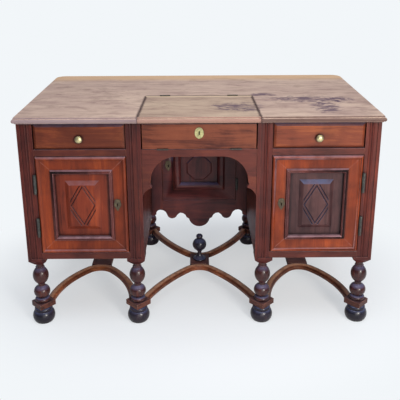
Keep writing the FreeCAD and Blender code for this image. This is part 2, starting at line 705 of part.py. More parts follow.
def stretcher_finial():
    """The turned finial that stands on the waist of the centre bay."""
    base_z = LEG_BASE_Z
    stem_z = base_z + FINIAL_STEM_HEIGHT
    bulb_z = stem_z + FINIAL_BULB_HEIGHT
    top_z = bulb_z + FINIAL_KNOB_HEIGHT
    steps = [
        ((FINIAL_BASE_RADIUS, base_z + FINIAL_BASE_DRUM),),
        ((FINIAL_BASE_TOP_RADIUS, base_z + FINIAL_BASE_HEIGHT),),
        ((FINIAL_STEM_RADIUS, stem_z),),
        ((FINIAL_BULB_RADIUS, (stem_z + bulb_z) / 2), (FINIAL_STEM_RADIUS, bulb_z), BALL_BANDS),
        ((FINIAL_KNOB_RADIUS, bulb_z + FINIAL_KNOB_HEIGHT / 2), (FINIAL_KNOB_TOP_RADIUS, top_z), RING_BANDS),
    ]
    finial = turned((FINIAL_BASE_RADIUS, base_z), steps, SMALL_TURNING_SIDES)
    half = FINIAL_TENON_HALF_WIDTH
    return fused([finial, block(-half, half, -half, half, base_z - FINIAL_TENON_LENGTH, base_z)])


# Case of the right pedestal

def front_rails():
    rail_back = CASE_FRONT_Y + REBATE_DEPTH
    rails = []
    for z0, height in ((BASE_RAIL_BOTTOM_Z, BASE_RAIL_HEIGHT), (DRAWER_RAIL_BOTTOM_Z, DRAWER_RAIL_HEIGHT)):
        rail = block(OPEN_LEFT_X, OPEN_RIGHT_X, FACE_Y, rail_back, z0, z0 + height)
        rails += [rail, mirrored_x(rail)]
    return rails


def side_rails():
    """Top and bottom rail between the two outer posts of each side."""
    outer = OUTER_FACE_X - FACE_SETBACK
    inner = outer - SIDE_RAIL_THICKNESS
    rails = []
    for z0, z1 in ((BASE_RAIL_BOTTOM_Z, BASE_RAIL_BOTTOM_Z + SIDE_BOTTOM_RAIL_HEIGHT),
                   (TOP_UNDER_Z - SIDE_TOP_RAIL_HEIGHT, TOP_UNDER_Z)):
        rail = block(inner, outer, POST_BACK_Y, -POST_BACK_Y, z0, z1)
        rails += [rail, mirrored_x(rail)]
    return rails


def outer_side_panels():
    """A raised and fielded panel in each outer side."""
    z0 = BASE_RAIL_BOTTOM_Z + SIDE_BOTTOM_RAIL_HEIGHT
    z1 = TOP_UNDER_Z - SIDE_TOP_RAIL_HEIGHT
    face_x = OUTER_FACE_X - FACE_SETBACK - SIDE_PANEL_SINK
    panel = block(face_x - SIDE_PANEL_THICKNESS, face_x, POST_BACK_Y, -POST_BACK_Y, z0, z1)
    half_width = -POST_BACK_Y - SIDE_FIELD_MARGIN
    half_height = (z1 - z0) / 2 - SIDE_FIELD_MARGIN
    field = tapered_tablet(rectangle_points(half_width, half_height),
                           rectangle_points(half_width - SIDE_FIELD_BEVEL, half_height - SIDE_FIELD_BEVEL),
                           0.0, (z0 + z1) / 2, 0.0, -SIDE_FIELD_RISE)
    field.rotate(ORIGIN, Z_AXIS, 90)
    field.translate(Vector(face_x, 0, 0))
    panel = fused([panel, field])
    return [panel, mirrored_x(panel)]


def inner_side_board():
    return block(HALF_BAY, HALF_BAY + SIDE_BOARD, POST_BACK_Y, -POST_BACK_Y, BASE_RAIL_BOTTOM_Z, TOP_UNDER_Z)


def back_boards():
    y1 = BACK_INNER_Y + BACK_BOARD
    right = block(INNER_POST_X + HALF_POST, OUTER_POST_X - HALF_POST, BACK_INNER_Y, y1,
                  BASE_RAIL_BOTTOM_Z, TOP_UNDER_Z)
    centre = block(-HALF_BAY, HALF_BAY, BACK_INNER_Y, y1, RECESS_BOTTOM_Z, TOP_UNDER_Z)
    return [mirrored_x(right), centre, right]


def pedestal_floors():
    """Three floor boards in each pedestal: the middle one is wider and fits between the posts."""
    z0 = BASE_RAIL_TOP_Z - FLOOR_BOARD
    left = INNER_POST_X + HALF_POST
    right = OUTER_POST_X - HALF_POST
    side_left = HALF_BAY + SIDE_BOARD
    side_right = OUTER_FACE_X - FACE_SETBACK - SIDE_RAIL_THICKNESS
    front_y = CASE_FRONT_Y + REBATE_DEPTH
    boards = [
        block(left, right, front_y, POST_BACK_Y, z0, BASE_RAIL_TOP_Z),
        block(side_left, side_right, POST_BACK_Y, -POST_BACK_Y, z0, BASE_RAIL_TOP_Z),
        block(left, right, -POST_BACK_Y, BACK_INNER_Y, z0, BASE_RAIL_TOP_Z),
    ]
    return boards + [mirrored_x(board) for board in boards]


def drawer_runners():
    """L shaped runners between the posts: the foot carries a drawer side, the upstand guides it."""
    box_left = INNER_POST_X + HALF_POST + DRAWER_SIDE_GAP
    box_right = OUTER_POST_X - HALF_POST - DRAWER_SIDE_GAP
    z0 = DRAWER_RAIL_BOTTOM_Z
    z1 = DRAWER_RAIL_TOP_Z
    guide_z = z1 + RUNNER_GUIDE_HEIGHT
    runners = []
    inner = [(HALF_BAY + SIDE_BOARD, z0), (box_left + RUNNER_REACH, z0), (box_left + RUNNER_REACH, z1),
             (box_left - SLIDE_GAP, z1), (box_left - SLIDE_GAP, guide_z), (HALF_BAY + SIDE_BOARD, guide_z)]
    side_x = OUTER_FACE_X - FACE_SETBACK - SIDE_PANEL_SINK - SIDE_PANEL_THICKNESS
    outer = [(box_right - RUNNER_REACH, z0), (side_x, z0), (side_x, guide_z),
             (box_right + SLIDE_GAP, guide_z), (box_right + SLIDE_GAP, z1), (box_right - RUNNER_REACH, z1)]
    for points in (inner, outer):
        corners = [Vector(x, POST_BACK_Y, z) for x, z in points]
        runner = flat_face(corners).extrude(Vector(0, -2 * POST_BACK_Y, 0))
        runners += [runner, mirrored_x(runner)]
    return runners


# Centre bay

def arched_apron():
    """The front apron: a flat-topped arch with a cusp and a hollow bracket at each end."""
    top_z = WELL_FLOOR_TOP_Z
    arch_z = top_z - ARCH_TOP_DROP
    spring_z = arch_z - ARCH_RADIUS
    spring_x = ARCH_FLAT_HALF + ARCH_RADIUS
    end_z = top_z - ARCH_BRACKET_DROP
    cusp = (spring_x - ARCH_CUSP_IN, spring_z - ARCH_CUSP_DROP)
    notch = (spring_x + ARCH_NOTCH_OUT, spring_z - ARCH_NOTCH_DROP)
    diagonal = ARCH_RADIUS * math.sqrt(0.5)
    hollow = ((cusp[0] + HALF_BAY) / 2 + ARCH_HOLLOW_BOW_X, (cusp[1] + end_z) / 2 + ARCH_HOLLOW_BOW_Z)
    start = (-HALF_BAY, top_z)
    steps = [
        ((HALF_BAY, top_z),),
        ((HALF_BAY, end_z),),
        (hollow, cusp, ARCH_BANDS),
        (notch,),
        ((spring_x, spring_z),),
        ((ARCH_FLAT_HALF + diagonal, spring_z + diagonal), (ARCH_FLAT_HALF, arch_z), 2 * ARCH_BANDS),
        ((-ARCH_FLAT_HALF, arch_z),),
        ((-ARCH_FLAT_HALF - diagonal, spring_z + diagonal), (-spring_x, spring_z), 2 * ARCH_BANDS),
        ((-notch[0], notch[1]),),
        ((-cusp[0], cusp[1]),),
        ((-hollow[0], hollow[1]), (-HALF_BAY, end_z), ARCH_BANDS),
    ]
    return board_from_front(start, steps, FACE_Y, FACE_BACK_Y)


def scallop_place(inset_and_drop):
    """A place on the cut edge, from its distance in from the right end and down from the cupboard."""
    return HALF_BAY - inset_and_drop[0], RECESS_BOTTOM_Z - inset_and_drop[1]


def scalloped_apron():
    """The cut apron under the centre cupboard: a deep middle lobe and a smaller one each side."""
    place = scallop_place
    right = [
        (place(SCALLOP_NOTCH_START),),
        (place(SCALLOP_NOTCH_BOW), place(SCALLOP_NOTCH_TOP), SCALLOP_BANDS),
        (place(SCALLOP_HOLLOW_BOW), place(SCALLOP_LOBE_START), SCALLOP_BANDS),
        (place(SCALLOP_LOBE_LOW), place(SCALLOP_LOBE_END), 2 * SCALLOP_BANDS),
        (place(SCALLOP_MIDDLE_NOTCH),),
        (place(SCALLOP_SHOULDER_BOW), place(SCALLOP_SHOULDER_END), SCALLOP_BANDS),
        (place(SCALLOP_NIB),),
    ]
    corner = (HALF_BAY, RECESS_BOTTOM_Z - SCALLOP_CORNER_DROP)
    left_start, left_steps = reversed_steps(corner, right)
    steps = [((HALF_BAY, RECESS_BOTTOM_Z),), (corner,)] + right
    middle_low = (0.0, RECESS_BOTTOM_Z - SCALLOP_MIDDLE_DROP)
    steps.append((middle_low, (-left_start[0], left_start[1]), 4 * SCALLOP_BANDS))
    for step in left_steps:
        steps.append(tuple((-p[0], p[1]) if isinstance(p, tuple) else p for p in step))
    y0 = RECESS_FACE_Y + FACE_SETBACK
    return board_from_front((-HALF_BAY, RECESS_BOTTOM_Z), steps, y0, y0 + SCALLOP_BOARD)


def recess_frame():
    """Face frame of the centre cupboard: two stiles with a rail between them at top and bottom."""
    y0 = RECESS_FACE_Y
    y1 = RECESS_FACE_Y + FRONT_BOARD
    inner = HALF_BAY - RECESS_STILE
    stile = block(inner, HALF_BAY, y0, y1, RECESS_BOTTOM_Z, WELL_FLOOR_Z)
    low_rail = block(-inner, inner, y0, y1, RECESS_BOTTOM_Z, RECESS_BOTTOM_Z + RECESS_BOTTOM_RAIL)
    high_rail = block(-inner, inner, y0, y1, WELL_FLOOR_Z - RECESS_TOP_RAIL, WELL_FLOOR_Z)
    return [stile, mirrored_x(stile), low_rail, high_rail]


def recess_floor():
    return block(-HALF_BAY, HALF_BAY, RECESS_FACE_Y + FRONT_BOARD, BACK_INNER_Y,
                 RECESS_BOTTOM_Z, RECESS_BOTTOM_Z + FLOOR_BOARD)


def well_floor():
    return block(-HALF_BAY, HALF_BAY, FACE_BACK_Y, BACK_INNER_Y, WELL_FLOOR_Z, WELL_FLOOR_TOP_Z)


def well_back():
    y0 = FLAP_BACK_Y + FLAP_BACK_GAP + WELL_BACK_SETBACK
    return block(-HALF_BAY, HALF_BAY, y0, y0 + WELL_BACK_BOARD, WELL_FLOOR_TOP_Z, TOP_UNDER_Z)


# Doors

def mitred_ring(profile, half_width, half_height, centre_x, centre_z, width, y_low, y_high):
    """Four mitred lengths of one moulding round a rectangle.

    The profile is a start and steps of (distance in from the outer edge, y).
    """
    start, steps = profile
    pieces = []
    for turn, half_run, half_rise in ((0, half_width, half_height), (1, half_height, half_width),
                                      (2, half_width, half_height), (3, half_height, half_width)):
        place = lambda p, run=half_run: Vector(-run + p[0], p[1], 0)
        length = Part.Face(outline_wire(start, steps, place)).extrude(Vector(0, 0, 2 * half_rise))
        length.translate(Vector(0, 0, -half_rise))
        corners = [Vector(-half_run, y_low, -half_rise), Vector(-half_run, y_low, half_rise),
                   Vector(-half_run + width, y_low, half_rise - width),
                   Vector(-half_run + width, y_low, -half_rise + width)]
        wedge = flat_face(corners).extrude(Vector(0, y_high - y_low, 0))
        piece = length.common(wedge)
        piece.rotate(ORIGIN, Y_AXIS, 90 * turn)
        piece.translate(Vector(centre_x, 0, centre_z))
        pieces.append(piece)
    return pieces


def frame_profile(face_y, width, rim, sink):
    """Stile and rail section: half-round rim at the outer edge, flat, and a groove for the panel."""
    back_y = face_y + FRONT_BOARD
    panel_y = face_y + sink
    steps = [
        ((width, back_y),),
        ((width, panel_y + PANEL_THICKNESS),),
        ((width - PANEL_GROOVE, panel_y + PANEL_THICKNESS),),
        ((width - PANEL_GROOVE, panel_y),),
        ((width, panel_y),),
        ((width, face_y),),
    ]
    if rim > 0:
        steps += [((rim, face_y),), ((rim / 2, face_y - RIM_RISE), (0.0, face_y), MOULDING_BANDS)]
    else:
        steps += [((0.0, face_y),)]
    return (0.0, back_y), steps


def bolection_profile(face_y, width, sink, moulding_width):
    """Raised moulding that laps over the frame and comes down to the sunk panel."""
    inner = width - BOLECTION_LAP + moulding_width
    panel_y = face_y + sink
    start = (width - BOLECTION_LAP, face_y)
    crest = (width - BOLECTION_LAP + moulding_width * BOLECTION_CREST_SHARE, face_y - BOLECTION_RISE)
    steps = [
        (crest, (inner, panel_y - BOLECTION_FOOT), MOULDING_BANDS),
        ((inner, panel_y),),
        ((width, panel_y),),
        ((width, face_y),),
    ]
    return start, steps


def keyhole_cutter(x, z, y0, y1):
    half = KEYHOLE_WIDTH / 2
    return block(x - half, x + half, y0, y1, z - KEYHOLE_HEIGHT / 2, z + KEYHOLE_HEIGHT / 2)


def rhombus(half_x, half_z):
    return [(-half_x, 0), (0, -half_z), (half_x, 0), (0, half_z)]


def lozenge_groove(half_x, half_z, offset, centre_x, centre_z, face_y):
    """A V groove along the sides of a lozenge, set out from them and ending at the field's edges."""
    reach = half_x * half_z / math.hypot(half_x, half_z)

    def scaled(distance):
        factor = (reach + distance) / reach
        return rhombus(half_x * factor, half_z * factor)

    half = GROOVE_WIDTH / 2
    root_y = face_y + GROOVE_DEPTH
    wide = tapered_tablet(scaled(offset + half), scaled(offset), centre_x, centre_z, face_y, root_y)
    core = tapered_tablet(scaled(offset - half), scaled(offset), centre_x, centre_z, face_y, root_y)
    field = block(centre_x - half_x, centre_x + half_x, face_y, root_y,
                  centre_z - half_z, centre_z + half_z)
    return wide.cut(core).common(field)


def door_panel():
    """Sunk panel with a raised, bevelled block cut with the two grooves of a lozenge."""
    z0 = DOOR_BOTTOM_Z + FRAME_WIDTH - PANEL_GROOVE
    z1 = DOOR_TOP_Z - FRAME_WIDTH + PANEL_GROOVE
    x0 = FRONT_LEFT_X + FRAME_WIDTH - PANEL_GROOVE
    x1 = FRONT_RIGHT_X - FRAME_WIDTH + PANEL_GROOVE
    centre_z = (z0 + z1) / 2
    panel_y = FACE_Y + PANEL_SINK
    sheet = block(x0, x1, panel_y, panel_y + PANEL_THICKNESS, z0, z1)
    half_x = PANEL_OPENING_WIDTH * BLOCK_WIDTH_SHARE / 2
    half_z = PANEL_OPENING_HEIGHT * BLOCK_HEIGHT_SHARE / 2
    top_y = panel_y - BLOCK_RISE
    tablet = tapered_tablet(rectangle_points(half_x, half_z),
                            rectangle_points(half_x - BLOCK_BEVEL, half_z - BLOCK_BEVEL),
                            PEDESTAL_X, centre_z, panel_y, top_y)
    panel = fused([sheet, tablet])
    field_x = half_x - BLOCK_BEVEL - GROOVE_MARGIN
    field_z = half_z - BLOCK_BEVEL - GROOVE_MARGIN
    for offset in (-GROOVE_WIDTH / 2, GROOVE_SPACING - GROOVE_WIDTH / 2):
        panel = panel.cut(lozenge_groove(field_x, field_z, offset, PEDESTAL_X, centre_z, top_y))
    return panel


def door_frame():
    half_width = (FRONT_RIGHT_X - FRONT_LEFT_X) / 2
    half_height = (DOOR_TOP_Z - DOOR_BOTTOM_Z) / 2
    pieces = mitred_ring(frame_profile(FACE_Y, FRAME_WIDTH, RIM_WIDTH, PANEL_SINK), half_width, half_height,
                         PEDESTAL_X, DOOR_MIDDLE_Z, FRAME_WIDTH, FACE_Y - RIM_RISE - CUT_MARGIN, FACE_BACK_Y)
    hole = keyhole_cutter(FRONT_LEFT_X + DOOR_KEYHOLE_FROM_EDGE, DOOR_KEYHOLE_Z,
                          FACE_Y - CUT_MARGIN, FACE_BACK_Y)
    return [piece.cut(hole) for piece in pieces]


def door_moulding():
    half_width = (FRONT_RIGHT_X - FRONT_LEFT_X) / 2
    half_height = (DOOR_TOP_Z - DOOR_BOTTOM_Z) / 2
    reach = FRAME_WIDTH - BOLECTION_LAP + BOLECTION_WIDTH
    profile = bolection_profile(FACE_Y, FRAME_WIDTH, PANEL_SINK, BOLECTION_WIDTH)
    return mitred_ring(profile, half_width, half_height, PEDESTAL_X, DOOR_MIDDLE_Z, reach,
                       FACE_Y - BOLECTION_RISE - CUT_MARGIN, FACE_Y + PANEL_SINK)


def shield_plate(x, z, face_y):
    """A small cartouche plate: bowed shoulders, drawn in to a pointed foot, with a keyhole."""
    half_width = SHIELD_WIDTH / 2
    half_height = SHIELD_HEIGHT / 2

    def place(shares):
        return x + half_width * shares[0], z + half_height * shares[1]

    head = (x, z + half_height)
    right = [
        (place(SHIELD_SHOULDER), place(SHIELD_NECK), SHIELD_BANDS),
        (place(SHIELD_CHEEK), place(SHIELD_HIP), SHIELD_BANDS),
        (place(SHIELD_FOOT_BOW), (x, z - half_height), SHIELD_BANDS),
    ]
    back = reversed_steps(head, right)[1]
    steps = list(right)
    for step in back:
        steps.append(tuple((2 * x - p[0], p[1]) if isinstance(p, tuple) else p for p in step))
    plate = board_from_front(head, steps, face_y - PLATE_THICKNESS, face_y)
    return plate.cut(keyhole_cutter(x, z, face_y - PLATE_THICKNESS - CUT_MARGIN, face_y + CUT_MARGIN))


def oval_plate(x, z, face_y):
    """An upright oval plate with a keyhole."""
    angles = [2 * math.pi * k / PLATE_BANDS for k in range(PLATE_BANDS)]
    points = [(x + OVAL_WIDTH / 2 * math.sin(angle), z + OVAL_HEIGHT / 2 * math.cos(angle))
              for angle in angles]
    plate = board_from_front(points[0], [(point,) for point in points[1:]], face_y - PLATE_THICKNESS, face_y)
    return plate.cut(keyhole_cutter(x, z, face_y - PLATE_THICKNESS - CUT_MARGIN, face_y + CUT_MARGIN))


def lock_case(x, z, back_y):
    half_x = LOCK_WIDTH / 2
    half_z = LOCK_HEIGHT / 2
    return block(x - half_x, x + half_x, back_y, back_y + LOCK_DEPTH, z - half_z, z + half_z)


def fiche_half(x, y, z0, z1, leaf_x, pin_up):
    """One half of a fiche hinge: barrel, bent leaf in the joint beside the door, and a pin or a bore."""
    barrel = stood_at(round_bar(FICHE_RADIUS, z1 - z0, HINGE_SIDES), x, y, z0)
    leaf = block(leaf_x - FICHE_LEAF, leaf_x, y, y + FICHE_LEAF_REACH, z0, z1)
    bend = block(leaf_x - FICHE_LEAF, x, y, y + FICHE_LEAF, z0, z1)
    half = fused([barrel, leaf, bend])
    if pin_up > 0:
        return fused([half, stood_at(round_bar(FICHE_PIN_RADIUS, pin_up, HINGE_SIDES), x, y, z1)])
    bore = bore_bar(FICHE_PIN_RADIUS + PIN_CLEARANCE, -pin_up + CUT_MARGIN, HINGE_SIDES)
    return half.cut(stood_at(bore, x, y, z0 - CUT_MARGIN))


def fiche_pair(x, y, middle_z, shoulder_x, length):
    """The fixed lower half with its pin and the moving upper half with its bore."""
    half_length = length / 2
    pin_length = half_length - FICHE_PIN_MARGIN
    leaf_x = shoulder_x - FICHE_LEAF_GAP
    fixed = fiche_half(x, y, middle_z - half_length, middle_z - FICHE_SEAT / 2, leaf_x, pin_length)
    moving = fiche_half(x, y, middle_z + FICHE_SEAT / 2, middle_z + half_length, leaf_x - FICHE_LEAF_PLAY,
                        -pin_length - CUT_MARGIN)
    return fixed, moving


def fiche_places(bottom_z, top_z, share):
    """Middles of the two hinges of a door, the same share of its height from each end."""
    inset = (top_z - bottom_z) * share
    return bottom_z + inset, top_z - inset


# Centre door

def regular_octagon(flats):
    radius = flats / 2 / math.cos(math.pi / 8)
    return [(radius * math.cos(math.pi / 8 + k * math.pi / 4), radius * math.sin(math.pi / 8 + k * math.pi / 4))
            for k in range(8)]


def centre_door_frame():
    """Mitred frame of the centre door with its broad moulding and keyhole."""
    half_height = (CENTRE_DOOR_TOP_Z - CENTRE_DOOR_BOTTOM_Z) / 2
    back_y = RECESS_FACE_Y + FRONT_BOARD
    pieces = mitred_ring(frame_profile(RECESS_FACE_Y, CENTRE_FRAME_WIDTH, 0.0, CENTRE_PANEL_SINK),
                         CENTRE_DOOR_EDGE_X, half_height, 0.0, CENTRE_DOOR_MIDDLE_Z, CENTRE_FRAME_WIDTH,
                         RECESS_FACE_Y, back_y)
    moulding_width = CENTRE_HALF_OPENING * CENTRE_BOLECTION_SHARE
    reach = CENTRE_FRAME_WIDTH - BOLECTION_LAP + moulding_width
    profile = bolection_profile(RECESS_FACE_Y, CENTRE_FRAME_WIDTH, CENTRE_PANEL_SINK, moulding_width)
    pieces += mitred_ring(profile, CENTRE_DOOR_EDGE_X, half_height, 0.0, CENTRE_DOOR_MIDDLE_Z, reach,
                          RECESS_FACE_Y - BOLECTION_RISE - CUT_MARGIN, RECESS_FACE_Y + CENTRE_PANEL_SINK)
    hole = keyhole_cutter(CENTRE_KEYHOLE_X, CENTRE_KEYHOLE_Z, RECESS_FACE_Y - CUT_MARGIN, back_y)
    return [piece.cut(hole) for piece in pieces]


def centre_door_panel():
    """Sunk panel with a raised octagon and a shallow dished disc in it."""
    z0 = CENTRE_DOOR_BOTTOM_Z + CENTRE_FRAME_WIDTH - PANEL_GROOVE
    z1 = CENTRE_DOOR_TOP_Z - CENTRE_FRAME_WIDTH + PANEL_GROOVE
    half = CENTRE_DOOR_EDGE_X - CENTRE_FRAME_WIDTH + PANEL_GROOVE
    panel_y = RECESS_FACE_Y + CENTRE_PANEL_SINK
    flats = 2 * CENTRE_HALF_OPENING * OCTAGON_SHARE
    dish_radius = CENTRE_HALF_OPENING * DISH_SHARE
    sheet = block(-half, half, panel_y, panel_y + PANEL_THICKNESS, z0, z1)
    octagon = tapered_tablet(regular_octagon(flats), regular_octagon(flats - 2 * OCTAGON_BEVEL),
                             0.0, CENTRE_DOOR_MIDDLE_Z, panel_y, panel_y - OCTAGON_RISE)
    dish = turned((dish_radius - DISH_SLOPE, 0), [((dish_radius, DISH_DEPTH),)], SMALL_TURNING_SIDES)
    dish.rotate(ORIGIN, X_AXIS, 90)
    dish.translate(Vector(0, panel_y - OCTAGON_RISE + DISH_DEPTH, CENTRE_DOOR_MIDDLE_Z))
    return fused([sheet, octagon]).cut(dish)


# Fall front and drawers

def bevelled_front(x0, x1, z0, z1):
    """A drawer or fall front with a raised field and a bevelled margin."""
    bevel_y = FACE_Y + DRAWER_BEVEL_DEPTH
    slab = block(x0, x1, bevel_y, FACE_BACK_Y, z0, z1)
    half_x = (x1 - x0) / 2
    half_z = (z1 - z0) / 2
    field = tapered_tablet(rectangle_points(half_x, half_z),
                           rectangle_points(half_x - DRAWER_BEVEL, half_z - DRAWER_BEVEL),
                           (x0 + x1) / 2, (z0 + z1) / 2, bevel_y, FACE_Y)
    return fused([slab, field])


def fall_front():
    half = HALF_BAY - 2 * FIT_GAP
    front = block(-half, half, FACE_Y, FACE_BACK_Y, FALL_BOTTOM_Z, FALL_TOP_Z)
    return front.cut(keyhole_cutter(0.0, FALL_KEYHOLE_Z, FACE_Y - CUT_MARGIN, FACE_BACK_Y + CUT_MARGIN))


def drawer_front():
    front = bevelled_front(FRONT_LEFT_X, FRONT_RIGHT_X, DRAWER_BOTTOM_Z, FRONT_TOP_Z)
    half = KNOB_SPINDLE_HALF_WIDTH + TENON_CLEARANCE
    return front.cut(block(PEDESTAL_X - half, PEDESTAL_X + half,
                           FACE_Y - CUT_MARGIN, FACE_BACK_Y + CUT_MARGIN, KNOB_Z - half, KNOB_Z + half))


def drawer_box():
    """Two sides, a back and a bottom board between them."""
    x0 = INNER_POST_X + HALF_POST + DRAWER_SIDE_GAP
    x1 = OUTER_POST_X - HALF_POST - DRAWER_SIDE_GAP
    y0 = FACE_BACK_Y
    y1 = y0 + DRAWER_LENGTH
    z0 = DRAWER_RAIL_TOP_Z + SLIDE_GAP
    board = DRAWER_SIDE_BOARD
    bottom_z = z0 + DRAWER_BOTTOM_RAISE
    return [
        block(x0, x0 + board, y0, y1, z0, z0 + DRAWER_SIDE_HEIGHT),
        block(x1 - board, x1, y0, y1, z0, z0 + DRAWER_SIDE_HEIGHT),
        block(x0 + board, x1 - board, y1 - board, y1, z0, z0 + DRAWER_BACK_HEIGHT),
        block(x0 + board, x1 - board, y0, y1 - board, bottom_z, bottom_z + DRAWER_BOTTOM_BOARD),
    ]


def drawer_knob():
    """A turned knob whose axis runs along Y, with its square spindle through the drawer front."""
    steps = [
        ((KNOB_NECK_RADIUS, KNOB_NECK_HEIGHT),),
        ((KNOB_RADIUS, KNOB_WIDEST_HEIGHT), (KNOB_TOP_RADIUS, KNOB_LENGTH), KNOB_BANDS),
    ]
    half = KNOB_SPINDLE_HALF_WIDTH
    spindle = block(-half, half, -half, half, -FRONT_BOARD, 0)
    knob = fused([turned((KNOB_BASE_RADIUS, 0), steps, SMALL_TURNING_SIDES), spindle])
    knob.rotate(ORIGIN, X_AXIS, 90)
    knob.translate(Vector(PEDESTAL_X, FACE_Y, KNOB_Z))
    return knob


# Butt hinges of the flap and the fall front

def butt_half(x0, x1, pivot_y, pivot_z, leaf, pin_length):
    """One half of a small butt hinge along X: its leaf, a knuckle, and a pin or a bore in the knuckle."""
    knuckle = laid_along_x(round_bar(BUTT_RADIUS, x1 - x0, HINGE_SIDES), x0, pivot_y, pivot_z)
    if pin_length > 0:
        pin = round_bar(BUTT_PIN_RADIUS, pin_length, HINGE_SIDES)
        return fused([knuckle, leaf, laid_along_x(pin, x1, pivot_y, pivot_z)])
    bore = bore_bar(BUTT_PIN_RADIUS + PIN_CLEARANCE, -pin_length, HINGE_SIDES)
    return fused([knuckle, leaf]).cut(laid_along_x(bore, x0, pivot_y, pivot_z))


def flap_hinges():
    """Small butt hinges behind the flap: leaves let into the joint, knuckles just over the top."""
    half = BUTT_LENGTH / 2
    pin_length = half - BUTT_PIN_MARGIN
    leaf_z = DESK_HEIGHT - BUTT_LEAF_REACH
    fixed_y = FLAP_BACK_Y + FLAP_BACK_GAP - BUTT_LEAF_SEAT - BUTT_LEAF
    moving_y = FLAP_BACK_Y + BUTT_LEAF_SEAT
    fixed = []
    moving = []
    for x in (-FLAP_HINGE_X, FLAP_HINGE_X):
        fixed_leaf = block(x - half, x, fixed_y, fixed_y + BUTT_LEAF, leaf_z, FLAP_PIVOT_Z)
        moving_leaf = block(x + BUTT_SEAT, x + half, moving_y, moving_y + BUTT_LEAF, leaf_z, FLAP_PIVOT_Z)
        fixed.append(butt_half(x - half, x, FLAP_PIVOT_Y, FLAP_PIVOT_Z, fixed_leaf, pin_length))
        moving.append(butt_half(x + BUTT_SEAT, x + half, FLAP_PIVOT_Y, FLAP_PIVOT_Z, moving_leaf,
                                CUT_MARGIN - half))
    return fixed, moving


def fall_hinges():
    """Butt hinges under the fall front: leaves in the joint over the apron, knuckles before its face."""
    half = BUTT_LENGTH / 2
    pin_length = half - BUTT_PIN_MARGIN
    leaf_y = FACE_Y + BUTT_LEAF_REACH
    fixed_z = WELL_FLOOR_TOP_Z + BUTT_LEAF_SEAT
    moving_z = FALL_BOTTOM_Z - BUTT_LEAF_SEAT - BUTT_LEAF
    fixed = []
    moving = []
    for x in (-FALL_HINGE_X, FALL_HINGE_X):
        fixed_leaf = block(x - half, x, FALL_PIVOT_Y, leaf_y, fixed_z, fixed_z + BUTT_LEAF)
        moving_leaf = block(x + BUTT_SEAT, x + half, FALL_PIVOT_Y, leaf_y, moving_z, moving_z + BUTT_LEAF)
        fixed.append(butt_half(x - half, x, FALL_PIVOT_Y, FALL_PIVOT_Z, fixed_leaf, pin_length))
        moving.append(butt_half(x + BUTT_SEAT, x + half, FALL_PIVOT_Y, FALL_PIVOT_Z, moving_leaf,
                                CUT_MARGIN - half))
    return fixed, moving


def save(name, solids):
    shape = solids[0] if len(solids) == 1 else Part.makeCompound(solids)
    shape.exportStep("parts/%s.step" % name)


def placed_uprights():
    """All eight uprights, named by their place."""
    outer = upright((0, 1), -1)
    inner = upright((0,), 1)
    outer_rear = upright((1,), 0)
    inner_rear = upright((), 0)
    named = {}
    for label, shape, x, y in (("front_right_outer", outer, OUTER_POST_X, FRONT_POST_Y),
                               ("front_right_inner", inner, INNER_POST_X, FRONT_POST_Y),
                               ("rear_right_outer", outer_rear, OUTER_POST_X, REAR_POST_Y),
                               ("rear_right_inner", inner_rear, INNER_POST_X, REAR_POST_Y)):
        right = shape.copy()
        right.translate(Vector(x, y, 0))
        named[label + "_upright"] = [right]
        named[label.replace("right", "left") + "_upright"] = [mirrored_x(right)]
    return named


def save_pedestal_fronts():
    """Door and drawer of the right pedestal, and the same mirrored for the left."""
    fixed_halves = []
    moving_halves = []
    for middle_z in fiche_places(DOOR_BOTTOM_Z, DOOR_TOP_Z, FICHE_SHARE):
        fixed, moving = fiche_pair(FICHE_X, FICHE_Y, middle_z, OPEN_RIGHT_X, FICHE_LENGTH)
        fixed_halves.append(fixed)
        moving_halves.append(moving)
    keyhole_x = FRONT_LEFT_X + DOOR_KEYHOLE_FROM_EDGE
    pieces = {
        "door_frame": door_frame(),
        "door_panel": [door_panel()],
        "door_moulding": door_moulding(),
        "door_escutcheon": [shield_plate(keyhole_x, DOOR_KEYHOLE_Z, FACE_Y)],
        "door_lock": [lock_case(keyhole_x, DOOR_KEYHOLE_Z, FACE_BACK_Y)],
        "door_hinges": moving_halves,
        "drawer_front": [drawer_front()],
        "drawer_box": drawer_box(),
        "drawer_knob": [drawer_knob()],
    }
    for name, solids in pieces.items():
        save("right_" + name, solids)
        save("left_" + name, [mirrored_x(solid) for solid in solids])
    return fixed_halves + [mirrored_x(solid) for solid in fixed_halves]


def save_centre_door():
    fixed_halves = []
    moving_halves = []
    for middle_z in fiche_places(CENTRE_DOOR_BOTTOM_Z, CENTRE_DOOR_TOP_Z, CENTRE_FICHE_SHARE):
        fixed, moving = fiche_pair(CENTRE_FICHE_X, CENTRE_FICHE_Y, middle_z, HALF_BAY - RECESS_STILE,
                                   CENTRE_FICHE_LENGTH)
        fixed_halves.append(fixed)
        moving_halves.append(moving)
    save("centre_door_frame", centre_door_frame())
    save("centre_door_panel", [centre_door_panel()])
    save("centre_door_escutcheon", [shield_plate(CENTRE_KEYHOLE_X, CENTRE_KEYHOLE_Z, RECESS_FACE_Y)])
    save("centre_door_lock", [lock_case(CENTRE_KEYHOLE_X, CENTRE_KEYHOLE_Z, RECESS_FACE_Y + FRONT_BOARD)])
    save("centre_door_hinges", moving_halves)
    return fixed_halves


